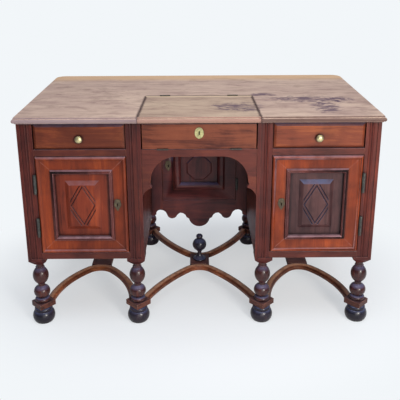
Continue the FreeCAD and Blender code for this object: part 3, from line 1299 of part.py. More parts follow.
def main():
    os.makedirs("parts", exist_ok=True)
    boards, flap = top_pieces()
    save("top_boards", boards)
    save("writing_flap", [flap])
    flap_fixed, flap_moving = flap_hinges()
    save("flap_hinge_fixed_leaves", flap_fixed)
    save("flap_hinge_moving_leaves", flap_moving)
    for name, solids in placed_uprights().items():
        save(name, solids)
    xs = (-OUTER_POST_X, -INNER_POST_X, INNER_POST_X, OUTER_POST_X)
    save("front_bun_feet", [bun_foot(x, FRONT_POST_Y) for x in xs])
    save("rear_bun_feet", [bun_foot(x, REAR_POST_Y) for x in xs])
    side = right_stretcher()
    save("right_stretcher", side)
    save("left_stretcher", [mirrored_x(half) for half in side])
    save("centre_stretcher", centre_stretcher())
    save("stretcher_finial", [stretcher_finial()])
    save("front_rails", front_rails())
    save("side_rails", side_rails())
    save("outer_side_panels", outer_side_panels())
    save("inner_side_boards", [inner_side_board(), mirrored_x(inner_side_board())])
    save("back_boards", back_boards())
    save("pedestal_floors", pedestal_floors())
    save("drawer_runners", drawer_runners())
    save("arched_apron", [arched_apron()])
    save("well_floor", [well_floor()])
    save("well_back", [well_back()])
    save("recess_frame", recess_frame())
    save("recess_floor", [recess_floor()])
    save("scalloped_apron", [scalloped_apron()])
    save("fall_front", [fall_front()])
    save("fall_escutcheon", [oval_plate(0.0, FALL_KEYHOLE_Z, FACE_Y)])
    save("fall_lock", [lock_case(0.0, FALL_KEYHOLE_Z, FACE_BACK_Y)])
    fall_fixed, fall_moving = fall_hinges()
    save("fall_hinge_fixed_leaves", fall_fixed)
    save("fall_hinge_moving_leaves", fall_moving)
    pintles = save_pedestal_fronts() + save_centre_door()
    save("door_hinge_pintles", pintles)


main()
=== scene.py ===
"""Visual model of a bureau mazarin: a walnut kneehole writing desk on turned legs and X stretchers.

Metres, X to the right, Y to the back, Z up, the same frame as the solids that this script dresses.
"""

import json
import logging
import math
import random
from dataclasses import dataclass, field
from enum import Enum
from typing import Sequence

import bmesh
import bpy
from mathutils import Matrix, Vector

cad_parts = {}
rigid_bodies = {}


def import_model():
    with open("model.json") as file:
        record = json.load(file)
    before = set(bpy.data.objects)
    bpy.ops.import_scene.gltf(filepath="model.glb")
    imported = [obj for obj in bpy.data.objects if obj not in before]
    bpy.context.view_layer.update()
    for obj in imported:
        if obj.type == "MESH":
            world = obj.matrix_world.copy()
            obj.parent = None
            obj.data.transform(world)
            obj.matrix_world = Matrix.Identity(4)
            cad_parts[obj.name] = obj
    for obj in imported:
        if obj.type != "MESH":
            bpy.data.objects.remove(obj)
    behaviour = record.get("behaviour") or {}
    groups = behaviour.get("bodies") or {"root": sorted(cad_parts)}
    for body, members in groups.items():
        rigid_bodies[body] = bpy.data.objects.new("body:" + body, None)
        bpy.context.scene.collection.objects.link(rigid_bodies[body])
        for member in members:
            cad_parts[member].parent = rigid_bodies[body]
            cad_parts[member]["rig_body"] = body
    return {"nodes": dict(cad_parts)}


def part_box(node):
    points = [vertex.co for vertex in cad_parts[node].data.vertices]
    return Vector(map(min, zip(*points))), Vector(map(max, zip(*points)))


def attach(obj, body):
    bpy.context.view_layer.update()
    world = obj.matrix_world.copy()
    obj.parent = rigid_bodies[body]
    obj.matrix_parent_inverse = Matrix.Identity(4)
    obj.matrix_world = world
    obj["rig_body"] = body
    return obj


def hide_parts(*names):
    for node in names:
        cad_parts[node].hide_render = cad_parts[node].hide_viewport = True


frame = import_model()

logging.basicConfig(level=logging.INFO, format="%(message)s")
LOG = logging.getLogger("bureau")

Colour = tuple[float, float, float, float]
ProfilePoint = tuple[float, float]
Patch = tuple[float, float, float, float]
Socket = bpy.types.NodeSocket
Material = bpy.types.Material
Mesh = bmesh.types.BMesh
Vert = bmesh.types.BMVert
Edge = bmesh.types.BMEdge


def tint(red: int, green: int, blue: int) -> Colour:
    """A colour written in the 0 to 255 values that it shows on a screen.

    Args:
        red: red value.
        green: green value.
        blue: blue value.

    Returns:
        The same colour as linear values with full alpha.
    """
    linear = []
    for value in (red, green, blue):
        share = value / 255.0
        linear.append(share / 12.92 if share <= 0.04045 else ((share + 0.055) / 1.055) ** 2.4)
    return (linear[0], linear[1], linear[2], 1.0)


class Along(Enum):
    """The direction that the grain of a board runs in."""

    X = 0
    Y = 1
    Z = 2
    LONGEST = 3


class Lap(Enum):
    """How the pad of a stretcher shares its leg with that of the next one."""

    WHOLE = "whole"
    LOWER = "lower half"
    UPPER = "upper half"


class Corner(Enum):
    """How softly the arrises of a piece are rounded, as a width in metres."""

    JOINERY = 0.0009
    THIN = 0.0003
    CRISP = 0.0005


# Plan of the writing flap in the top, in metres

TOP_FRONT = -0.376
FLAP_BACK = -0.048
FLAP_BACK_HALF = 0.203
FLAP_FRONT_HALF = 0.209

# Reach of the grime and painted shade in hollows, of the painted shade towards corners and of rubbed arrises
# with their painted highlights, in metres

HOLLOW_REACH = 0.016
CORNER_REACH = 0.075
ARRIS_REACH = 0.0028

# Polish of the woods: unevenness, roughness of open pores, roughness of the wax and strength of the open grain

SMEARS = 0.22
PORE_ROUGHNESS = 0.18
WAX_ROUGHNESS = 0.22
GRAIN_STRENGTH = 0.6

# Patina of the metals: how much metalness it takes, how much roughness it adds, and its relief in metres

TARNISH_METALNESS = 0.55
TARNISH_ROUGHNESS = 0.25
PATINA_STRENGTH = 0.35
PATINA_RELIEF = 0.0002

# Easing of the stretchers' square slabs, in metres

SLAB_EASING = 0.0012

# Corners nearer than this are one, in metres: in a node, and in a shape that is made here

NODE_MERGE = 0.00002
MERGE = 0.00001

# Angles in degrees: faces that count as one plane, edges that are rounded, and edges that stay crisp

PLANE_ANGLE = 0.6
ARRIS_ANGLE = 24.0
FIELD_ARRIS_ANGLE = 8.0
FLAT = 0.0
FIELD_ANGLE = 20.0
TURNED_ANGLE = 30.0
ARM_ANGLE = 32.0
BOARD_ANGLE = 38.0
TOP_ANGLE = 50.0


# Node building


@dataclass
class NodeSheet:
    """A thin wrapper round a node tree that adds nodes and links by short calls.

    Attributes:
        tree: the node tree that is written on.
    """

    tree: bpy.types.NodeTree

    def add(self, kind: str, **settings: object) -> bpy.types.Node:
        """Adds one node.

        Args:
            kind: type name of the node.
            settings: properties to set on it.

        Returns:
            The new node.
        """
        node = self.tree.nodes.new(kind)
        for name, value in settings.items():
            setattr(node, name, value)
        return node

    def join(self, source: Socket, target: Socket) -> None:
        """Links an output to an input."""
        self.tree.links.new(source, target)

    def feed(self, target: Socket, value: object) -> None:
        """Links a socket to an input, or sets the input's own value."""
        if isinstance(value, Socket):
            self.join(value, target)
        else:
            target.default_value = value

    def use(self, kind: str, given: dict[str, object], **settings: object) -> bpy.types.Node:
        """Adds one node and feeds its inputs.

        Args:
            kind: type name of the node.
            given: value or socket for each input, by name.
            settings: properties to set on it.

        Returns:
            The new node.
        """
        node = self.add(kind, **settings)
        for label, value in given.items():
            self.feed(node.inputs[label], value)
        return node

    def maths(self, operation: str, first: object, second: object = 0.0, clamp: bool = False) -> Socket:
        """A Math node.

        Args:
            operation: its operation.
            first: first value or socket.
            second: second value or socket.
            clamp: keeps the result between 0 and 1.

        Returns:
            Its output socket.
        """
        node = self.add("ShaderNodeMath", operation=operation, use_clamp=clamp)
        self.feed(node.inputs[0], first)
        self.feed(node.inputs[1], second)
        return node.outputs[0]

    def plus(self, first: object, second: object) -> Socket:
        """The sum of two values."""
        return self.maths("ADD", first, second)

    def minus(self, first: object, second: object) -> Socket:
        """The first value less the second."""
        return self.maths("SUBTRACT", first, second)

    def times(self, first: object, second: object, clamp: bool = False) -> Socket:
        """The product of two values."""
        return self.maths("MULTIPLY", first, second, clamp)

    def size(self, value: object) -> Socket:
        """The value without its sign."""
        return self.maths("ABSOLUTE", value)

    def squared(self, value: object, unit: float) -> Socket:
        """The square of a value that is measured in a unit."""
        return self.maths("POWER", self.maths("DIVIDE", value, unit), 2.0)

    def axes(self, vector: Socket) -> Sequence[Socket]:
        """The X, Y and Z of a vector."""
        return self.use("ShaderNodeSeparateXYZ", {"Vector": vector}).outputs

    def between(self, value: object, low: float, high: float, to_low: float = 0.0,
                to_high: float = 1.0) -> Socket:
        """A smooth step of a value from one range to another.

        Args:
            value: value or socket.
            low: where the step begins.
            high: where the step ends.
            to_low: result at the beginning.
            to_high: result at the end.

        Returns:
            The output socket.
        """
        step = {"Value": value, "From Min": low, "From Max": high, "To Min": to_low, "To Max": to_high}
        return self.use("ShaderNodeMapRange", step, interpolation_type="SMOOTHSTEP").outputs["Result"]

    def blend(self, factor: object, first: object, second: object, mode: str = "MIX") -> Socket:
        """A colour mix.

        Args:
            factor: value or socket that says how much of the second colour shows.
            first: first colour or socket.
            second: second colour or socket.
            mode: blend mode.

        Returns:
            The mixed colour's socket.
        """
        node = self.add("ShaderNodeMix", data_type="RGBA", blend_type=mode)
        self.feed(node.inputs[0], factor)
        self.feed(node.inputs[6], first)
        self.feed(node.inputs[7], second)
        return node.outputs[2]

    def noise(self, vector: Socket, scale: float, detail: float = 3.0, rough: float = 0.55,
              distortion: float = 0.0) -> Socket:
        """A noise value at a scale in features per metre.

        Args:
            vector: place that is read.
            scale: features per metre.
            detail: octaves.
            rough: share of each next octave.
            distortion: how far the pattern is swirled.

        Returns:
            The noise value, about 0.5 on average.
        """
        look = {"Vector": vector, "Scale": scale, "Detail": detail, "Roughness": rough,
                "Distortion": distortion}
        return self.use("ShaderNodeTexNoise", look).outputs["Fac"]

    def stretched(self, vector: Socket, scale: tuple[float, float, float],
                  shift: tuple[float, float, float] = (0.0, 0.0, 0.0)) -> Socket:
        """The vector scaled by axis and then shifted."""
        mapping = self.use("ShaderNodeMapping", {"Vector": vector, "Scale": scale, "Location": shift})
        return mapping.outputs["Vector"]

    def bump(self, shader: bpy.types.Node, height: Socket, strength: float, depth: float) -> None:
        """Bends the normal of a shader by a height.

        Args:
            shader: the shader node.
            height: the height.
            strength: how strongly it is bent.
            depth: depth of the relief in metres.
        """
        relief = self.use("ShaderNodeBump", {"Height": height, "Strength": strength, "Distance": depth})
        self.join(relief.outputs["Normal"], shader.inputs["Normal"])


VECTOR, VALUE, COLOUR = "NodeSocketVector", "NodeSocketFloat", "NodeSocketColor"


def new_group(name: str, inputs: dict[str, str], outputs: dict[str, str]) -> tuple[NodeSheet, dict, dict]:
    """Starts a shader node group.

    Args:
        name: name of the group.
        inputs: socket type of each input, by name.
        outputs: socket type of each output, by name.

    Returns:
        The sheet to write on, the input sockets by name and the output sockets by name.
    """
    tree = bpy.data.node_groups.new(name, "ShaderNodeTree")
    for way, sockets in (("INPUT", inputs), ("OUTPUT", outputs)):
        for label, kind in sockets.items():
            tree.interface.new_socket(label, in_out=way, socket_type=kind)
    sheet = NodeSheet(tree)
    entry = sheet.add("NodeGroupInput")
    leave = sheet.add("NodeGroupOutput")
    given = {socket.name: socket for socket in entry.outputs if socket.name}
    results = {socket.name: socket for socket in leave.inputs if socket.name}
    return sheet, given, results


def walnut_figure_group() -> bpy.types.NodeTree:
    """Streaks, broad figure and open pores of walnut, read from a place whose X runs along the grain."""
    sheet, given, results = new_group(
        "walnut_figure",
        {"Place": VECTOR, "Tone": VALUE, "Dark": COLOUR, "Mid": COLOUR, "Light": COLOUR, "Contrast": VALUE},
        {"Color": COLOUR, "Height": VALUE, "Pores": VALUE})
    warp = sheet.noise(sheet.stretched(given["Place"], (1.0, 3.0, 3.0)), 2.6, 2.0)
    bend = sheet.add("ShaderNodeVectorMath", operation="MULTIPLY_ADD")
    for socket, value in zip(bend.inputs, (warp, (0.0, 0.05, 0.05), given["Place"])):
        sheet.feed(socket, value)
    place = bend.outputs["Vector"]
    streaks = sheet.noise(sheet.stretched(place, (3.2, 92.0, 92.0)), 1.0, 6.0, 0.62, 0.4)
    broad = sheet.noise(sheet.stretched(place, (1.5, 13.0, 13.0), (3.0, 7.0, 1.0)), 1.0, 3.0, 0.5, 1.2)
    cloud = sheet.noise(sheet.stretched(place, (5.0, 9.0, 9.0), (6.0, 2.0, 4.0)), 1.0, 4.0, 0.6, 0.6)
    hair = sheet.noise(sheet.stretched(place, (12.0, 520.0, 520.0), (1.0, 2.0, 5.0)), 1.0, 3.0, 0.6)
    mixed = sheet.plus(sheet.times(streaks, 0.40), sheet.times(broad, 0.26))
    mixed = sheet.plus(mixed, sheet.times(cloud, 0.34))
    mixed = sheet.plus(mixed, sheet.times(sheet.minus(hair, 0.5), 0.14))
    centred = sheet.times(sheet.minus(mixed, 0.5), given["Contrast"])
    toned = sheet.plus(centred, sheet.times(sheet.minus(given["Tone"], 0.5), 0.10))
    lower = sheet.blend(sheet.between(toned, -0.16, 0.0), given["Dark"], given["Mid"])
    colour = sheet.blend(sheet.between(toned, 0.0, 0.16), lower, given["Light"])
    pores = sheet.between(sheet.noise(sheet.stretched(place, (34.0, 1300.0, 1300.0)), 1.0, 1.0), 0.64, 0.72)
    colour = sheet.blend(sheet.times(pores, 0.35), colour, given["Dark"])
    height = sheet.minus(sheet.times(streaks, 0.4), sheet.times(pores, 0.5))
    sheet.join(colour, results["Color"])
    sheet.join(height, results["Height"])
    sheet.join(pores, results["Pores"])
    return sheet.tree


def age_group() -> bpy.types.NodeTree:
    """Grime and painted shade in hollows, painted shade towards corners, rubbed arrises that also carry painted
    highlights, and a painted sheen on what looks up.
    """
    sheet, given, results = new_group(
        "age_and_wear",
        {"Place": VECTOR, "Color": COLOUR, "Grime And Shade": COLOUR, "Rubbed And Highlit": COLOUR, "Painted Sheen": COLOUR,
         "Grime And Shade Amount": VALUE, "Rub And Highlight Amount": VALUE, "Painted Sheen Amount": VALUE, "Painted Sheen From": VALUE},
        {"Color": COLOUR, "Rub And Highlight Mask": VALUE})
    # Ambient occlusion darkens hollows and corners: painted shade, partly grime in the hollows, and only
    # painted shade in the wide darkening towards corners.
    hollow, corner = (sheet.use("ShaderNodeAmbientOcclusion", {"Distance": reach}, samples=8).outputs["AO"]
                      for reach in (HOLLOW_REACH, CORNER_REACH))
    patchy = sheet.noise(given["Place"], 34.0, 4.0, 0.6)
    hollow_grime_and_shade = sheet.between(sheet.plus(hollow, sheet.times(patchy, 0.22)), 1.08, 0.60)
    painted_corner_shade = sheet.times(sheet.between(corner, 0.96, 0.38), 0.62)
    grime_and_shade = sheet.times(sheet.maths("MAXIMUM", hollow_grime_and_shade, painted_corner_shade), given["Grime And Shade Amount"], clamp=True)
    # Arrises are lightened: partly wear, partly painted highlights where light would catch them.
    rounded = sheet.use("ShaderNodeBevel", {"Radius": ARRIS_REACH}, samples=6)
    flat = sheet.add("ShaderNodeNewGeometry")
    across = sheet.add("ShaderNodeVectorMath", operation="DOT_PRODUCT")
    sheet.join(rounded.outputs["Normal"], across.inputs[0])
    sheet.join(flat.outputs["Normal"], across.inputs[1])
    edge = sheet.between(across.outputs["Value"], 0.995, 0.86)
    outward = sheet.between(hollow, 0.62, 0.9)
    worn = sheet.times(sheet.times(edge, outward), sheet.between(patchy, 0.36, 0.66, 0.25, 1.0))
    rub_and_highlight = sheet.times(worn, given["Rub And Highlight Amount"], clamp=True)
    # Painted sheen: faces that look up are tinted towards the colour of the sky that they would reflect.
    facing = sheet.axes(sheet.add("ShaderNodeTexCoord").outputs["Normal"])[2]
    upward = sheet.maths("DIVIDE", sheet.minus(facing, given["Painted Sheen From"]), 0.4, clamp=True)
    painted_sheen_share = sheet.times(upward, sheet.between(patchy, 0.30, 0.62, 0.55, 1.0))
    painted_sheen_share = sheet.times(painted_sheen_share, given["Painted Sheen Amount"])
    colour = sheet.blend(grime_and_shade, given["Color"], given["Grime And Shade"])
    colour = sheet.blend(painted_sheen_share, colour, given["Painted Sheen"])
    colour = sheet.blend(rub_and_highlight, colour, given["Rubbed And Highlit"])
    sheet.join(colour, results["Color"])
    sheet.join(rub_and_highlight, results["Rub And Highlight Mask"])
    return sheet.tree


def patina_group() -> bpy.types.NodeTree:
    """Tarnish in clouds and fine scratches on metal."""
    sheet, given, results = new_group(
        "metal_patina",
        {"Place": VECTOR, "Clean": COLOUR, "Tarnish": COLOUR, "Spread": VALUE},
        {"Color": COLOUR, "Mask": VALUE, "Height": VALUE})
    clouds = sheet.noise(given["Place"], 90.0, 5.0, 0.65, 0.5)
    fine = sheet.noise(given["Place"], 700.0, 4.0, 0.6)
    scratch = sheet.noise(sheet.stretched(given["Place"], (300.0, 300.0, 4200.0)), 1.0, 2.0)
    level = sheet.plus(sheet.times(clouds, 0.75), sheet.times(fine, 0.25))
    mask = sheet.between(sheet.plus(level, sheet.minus(given["Spread"], 0.5)), 0.36, 0.64)
    sheet.join(sheet.blend(mask, given["Clean"], given["Tarnish"]), results["Color"])
    sheet.join(mask, results["Mask"])
    sheet.join(sheet.plus(sheet.times(fine, 0.6), sheet.times(scratch, 0.4)), results["Height"])
    return sheet.tree


@dataclass
class Effects:
    """The shader node groups that several finishes share, built once."""

    figure: bpy.types.NodeTree = field(default_factory=walnut_figure_group)
    age: bpy.types.NodeTree = field(default_factory=age_group)
    patina: bpy.types.NodeTree = field(default_factory=patina_group)


def start_material(name: str) -> tuple[Material, NodeSheet, bpy.types.Node]:
    """An empty material with its shader joined to the output.

    Args:
        name: name of the material.

    Returns:
        The material, a sheet for its nodes and its shader node.
    """
    material = bpy.data.materials.new(name)
    material.use_nodes = True
    sheet = NodeSheet(material.node_tree)
    return material, sheet, material.node_tree.nodes["Principled BSDF"]


@dataclass(frozen=True)
class WoodFinish:
    """A polished or bare wood.

    Attributes:
        name: name of the material.
        dark: colour of the darkest streaks.
        mid: colour of most of the surface.
        light: colour of the lightest streaks.
        grime_and_shade: colour of grime and painted shade in hollows, and of painted shade towards corners.
        rubbed_and_highlit: colour of worn arrises, which also stands for painted highlights along them.
        contrast: strength of the figure.
        grime_and_shade_amount: how much of that grime and painted shade shows.
        rub_and_highlight_amount: how much of that wear and painted highlight shows.
        roughness: roughness of the surface.
        coat: weight of the wax or varnish over it.
        gloss: how strongly the wood itself shines.
        relief: depth of the open grain in metres.
        painted_sheen: colour of the painted sheen, a painted reflection of the sky on what looks up.
        painted_sheen_amount: how much of that painted sheen shows.
        painted_sheen_from: how far up a face must look to carry it, 1 for straight up.
    """

    name: str
    dark: Colour
    mid: Colour
    light: Colour
    grime_and_shade: Colour = tint(24, 13, 16)
    rubbed_and_highlit: Colour = tint(168, 96, 62)
    contrast: float = 1.0
    grime_and_shade_amount: float = 0.85
    rub_and_highlight_amount: float = 0.45
    roughness: float = 0.42
    coat: float = 0.10
    gloss: float = 0.16
    relief: float = 0.00025
    painted_sheen: Colour = tint(158, 126, 134)
    painted_sheen_amount: float = 0.55
    painted_sheen_from: float = 0.3

    def build(self, effects: Effects) -> Material:
        """Builds the material.

        Args:
            effects: the shared node groups.

        Returns:
            The material.
        """
        material, sheet, shader = start_material(self.name)
        grain = sheet.add("ShaderNodeAttribute", attribute_name="grain").outputs["Vector"]
        tone = sheet.add("ShaderNodeAttribute", attribute_name="tone").outputs["Fac"]
        figure = sheet.use("ShaderNodeGroup", {
            "Place": grain, "Tone": tone, "Dark": self.dark, "Mid": self.mid, "Light": self.light,
            "Contrast": self.contrast}, node_tree=effects.figure).outputs
        place = sheet.add("ShaderNodeTexCoord").outputs["Object"]
        age = sheet.use("ShaderNodeGroup", {
            "Place": place, "Color": self.over_figure(sheet, place, figure["Color"]), "Grime And Shade": self.grime_and_shade,
            "Rubbed And Highlit": self.rubbed_and_highlit, "Painted Sheen": self.painted_sheen, "Grime And Shade Amount": self.grime_and_shade_amount,
            "Rub And Highlight Amount": self.rub_and_highlight_amount, "Painted Sheen Amount": self.painted_sheen_amount,
            "Painted Sheen From": self.painted_sheen_from}, node_tree=effects.age).outputs
        sheet.join(age["Color"], shader.inputs["Base Color"])
        smears = sheet.noise(place, 9.0, 4.0, 0.6, 0.8)
        rough = sheet.plus(sheet.times(smears, SMEARS), self.roughness - SMEARS / 2)
        rough = sheet.plus(rough, sheet.times(figure["Pores"], PORE_ROUGHNESS))
        sheet.join(rough, shader.inputs["Roughness"])
        kept = sheet.between(age["Rub And Highlight Mask"], 0.0, 1.0, 1.0, 0.3)
        sheet.join(sheet.times(kept, self.coat), shader.inputs["Coat Weight"])
        shader.inputs["Coat Roughness"].default_value = WAX_ROUGHNESS
        shader.inputs["Specular IOR Level"].default_value = self.gloss
        sheet.bump(shader, figure["Height"], GRAIN_STRENGTH, self.relief)
        return material

    def over_figure(self, sheet: NodeSheet, place: Socket, colour: Socket) -> Socket:
        """What lies over the figure and under the grime; plain finishes add broad changes of tone."""
        cloud = sheet.noise(place, 5.0, 3.0, 0.6, 0.6)
        return sheet.blend(sheet.between(cloud, 0.40, 0.64, 0.0, 0.55), colour, self.dark)


@dataclass(frozen=True)
class BleachedTopFinish(WoodFinish):
    """The worn top: polish gone, wood bleached grey, with dents, old ink and water stains.

    Attributes:
        stain: colour of the stains.
        stain_places: middle and half size of each stained stretch in plan, in metres.
        back_band: colour of the less bleached strip at the back edge.
        scratch: colour of the short dark scratches along the grain.
        moulding: colour of the polished moulded edge.
        moulding_right: colour of that edge towards the right end, where it is darker.
        pale_edge: colour of the bare strip along the flap's sawn back edge.
        pale_edge_share: how much that strip shows.
        bruise_places: middle and half size of each stretch of faint bruises.
    """

    stain: Colour = tint(86, 66, 84)
    back_band: Colour = tint(228, 186, 140)
    scratch: Colour = tint(104, 74, 72)
    moulding: Colour = tint(138, 120, 124)
    moulding_right: Colour = tint(74, 48, 44)
    pale_edge: Colour = tint(236, 208, 170)
    pale_edge_share: float = 0.0
    stain_places: tuple[Patch, ...] = (
        (0.40, -0.11, 0.18, 0.07), (0.45, -0.23, 0.07, 0.11), (0.53, -0.12, 0.07, 0.06),
        (0.14, -0.23, 0.12, 0.09), (0.25, -0.03, 0.06, 0.04))
    bruise_places: tuple[Patch, ...] = ((-0.38, 0.02, 0.22, 0.12), (-0.30, -0.16, 0.12, 0.08))

    def patch(self, sheet: NodeSheet, x: Socket, y: Socket, place: Patch) -> Socket:
        """How near a point lies to the middle of an oval patch.

        Args:
            sheet: node sheet of the material.
            x: place from left to right.
            y: place from front to back.
            place: middle and half size of the patch.

        Returns:
            One in its middle and nothing at its edge.
        """
        middle_x, middle_y, half_x, half_y = place
        across = sheet.squared(sheet.minus(x, middle_x), half_x)
        deep = sheet.squared(sheet.minus(y, middle_y), half_y)
        return sheet.between(sheet.plus(across, deep), 1.3, 0.0)

    def over_figure(self, sheet: NodeSheet, place: Socket, colour: Socket) -> Socket:
        """Bleaching, scratches, stains, saw-cut grime, a painted shadow behind the flap and the darker moulding
        over the figure.

        Args:
            sheet: node sheet of the material.
            place: object coordinates.
            colour: colour of the figure.

        Returns:
            The colour with these over it.
        """
        x, y, _ = sheet.axes(place)
        facing = sheet.axes(sheet.add("ShaderNodeTexCoord").outputs["Normal"])[2]
        above = sheet.between(facing, 0.0, 0.6)
        worn = sheet.noise(sheet.stretched(place, (1.0, 3.0, 1.0)), 5.0, 5.0, 0.62, 0.5)
        colour = sheet.blend(sheet.between(worn, 0.38, 0.66, 0.0, 0.5), colour, self.light)
        lavender = sheet.noise(sheet.stretched(place, (1.0, 2.2, 1.0), (4.0, 1.0, 0.0)), 9.0, 5.0, 0.66, 0.7)
        colour = sheet.blend(sheet.between(lavender, 0.46, 0.70, 0.0, 0.36), colour, self.scratch)
        dashes = sheet.noise(sheet.stretched(place, (22.0, 150.0, 20.0)), 1.0, 3.0, 0.6, 0.2)
        colour = sheet.blend(sheet.between(dashes, 0.60, 0.74, 0.0, 0.55), colour, self.scratch)
        band = sheet.plus(y, sheet.times(sheet.noise(place, 7.0, 4.0), 0.05))
        colour = sheet.blend(sheet.between(band, 0.255, 0.350, 0.0, 0.72), colour, self.back_band)
        blotch = sheet.noise(sheet.stretched(place, (1.0, 1.7, 1.0)), 24.0, 7.0, 0.72, 0.8)
        for bruise in self.bruise_places:
            near = self.patch(sheet, x, y, bruise)
            bruised = sheet.times(sheet.between(blotch, 0.50, 0.66, 0.0, 0.42), near)
            colour = sheet.blend(bruised, colour, self.scratch)
        for stained in self.stain_places:
            near = self.patch(sheet, x, y, stained)
            soaked = sheet.between(sheet.plus(blotch, sheet.times(near, 0.22)), 0.58, 0.80)
            soaked = sheet.times(soaked, sheet.between(near, 0.0, 0.3, 0.0, 0.85))
            colour = sheet.blend(sheet.times(soaked, above), colour, self.stain)
        colour = self.saw_cut(sheet, x, y, blotch, colour)
        edge = sheet.blend(sheet.between(x, -0.45, 0.35), self.moulding, self.moulding_right)
        polished = sheet.times(sheet.between(facing, 0.95, 0.55, 0.0, 0.9),
                               sheet.between(facing, -0.9, -0.5, 0.6, 1.0))
        return sheet.blend(polished, colour, edge)

    def saw_cut(self, sheet: NodeSheet, x: Socket, y: Socket, blotch: Socket, colour: Socket) -> Socket:
        """Grime along the saw cuts round the flap, a painted shadow in the gap behind it, and the flap's bare
        back edge.

        Args:
            sheet: node sheet of the material.
            x: place from left to right.
            y: place from front to back.
            blotch: a noise that makes the grime uneven.
            colour: colour so far.

        Returns:
            The colour with these over it.
        """
        taper = (FLAP_FRONT_HALF - FLAP_BACK_HALF) / (FLAP_BACK - TOP_FRONT)
        line = sheet.plus(sheet.times(sheet.minus(FLAP_BACK, y), taper), FLAP_BACK_HALF)
        off = sheet.size(sheet.minus(sheet.size(x), line))
        uneven = sheet.times(blotch, 0.009)
        side = sheet.between(sheet.minus(off, uneven), 0.0045, -0.003, 0.0, 0.8)
        side = sheet.times(side, sheet.between(y, FLAP_BACK + 0.012, FLAP_BACK - 0.002))
        # Painted shadow: the top is darkened in a line just behind the flap's back edge.
        painted_shadow_behind = sheet.size(sheet.minus(y, FLAP_BACK + 0.006))
        painted_shadow_behind = sheet.between(sheet.minus(painted_shadow_behind, uneven), 0.004, -0.002, 0.0, 0.55)
        beside = sheet.between(sheet.size(x), FLAP_BACK_HALF + 0.01, FLAP_BACK_HALF - 0.01)
        painted_shadow_behind = sheet.times(painted_shadow_behind, beside)
        bare = sheet.between(y, FLAP_BACK - 0.016, FLAP_BACK - 0.009, 0.0, self.pale_edge_share)
        colour = sheet.blend(sheet.maths("MAXIMUM", side, painted_shadow_behind), colour, self.grime_and_shade)
        return sheet.blend(bare, colour, self.pale_edge)


@dataclass(frozen=True)
class MetalFinish:
    """Brass or iron with its patina.

    Attributes:
        name: name of the material.
        clean: colour where it is rubbed bright.
        tarnish: colour of the patina.
        spread: how much of it is tarnished.
        roughness: roughness of the bright metal.
        metallic: metalness where bright.
    """

    name: str
    clean: Colour
    tarnish: Colour
    spread: float
    roughness: float
    metallic: float = 0.9

    def build(self, effects: Effects) -> Material:
        """Builds the material.

        Args:
            effects: the shared node groups.

        Returns:
            The material.
        """
        material, sheet, shader = start_material(self.name)
        place = sheet.add("ShaderNodeTexCoord").outputs["Object"]
        patina = sheet.use("ShaderNodeGroup", {
            "Place": place, "Clean": self.clean, "Tarnish": self.tarnish,
            "Spread": self.spread}, node_tree=effects.patina).outputs
        # Grime and painted shade in hollows and towards corners; arrises go back to the clean colour as wear
        # and painted highlight.
        age = sheet.use("ShaderNodeGroup", {
            "Place": place, "Color": patina["Color"], "Grime And Shade": tint(30, 26, 20), "Rubbed And Highlit": self.clean,
            "Grime And Shade Amount": 0.7, "Rub And Highlight Amount": 0.6}, node_tree=effects.age).outputs
        sheet.join(age["Color"], shader.inputs["Base Color"])
        for label, bright, dull in (("Metallic", self.metallic, self.metallic * TARNISH_METALNESS),
                                    ("Roughness", self.roughness, self.roughness + TARNISH_ROUGHNESS)):
            sheet.join(sheet.between(patina["Mask"], 0.0, 1.0, bright, dull), shader.inputs[label])
        sheet.bump(shader, patina["Height"], PATINA_STRENGTH, PATINA_RELIEF)
        return material


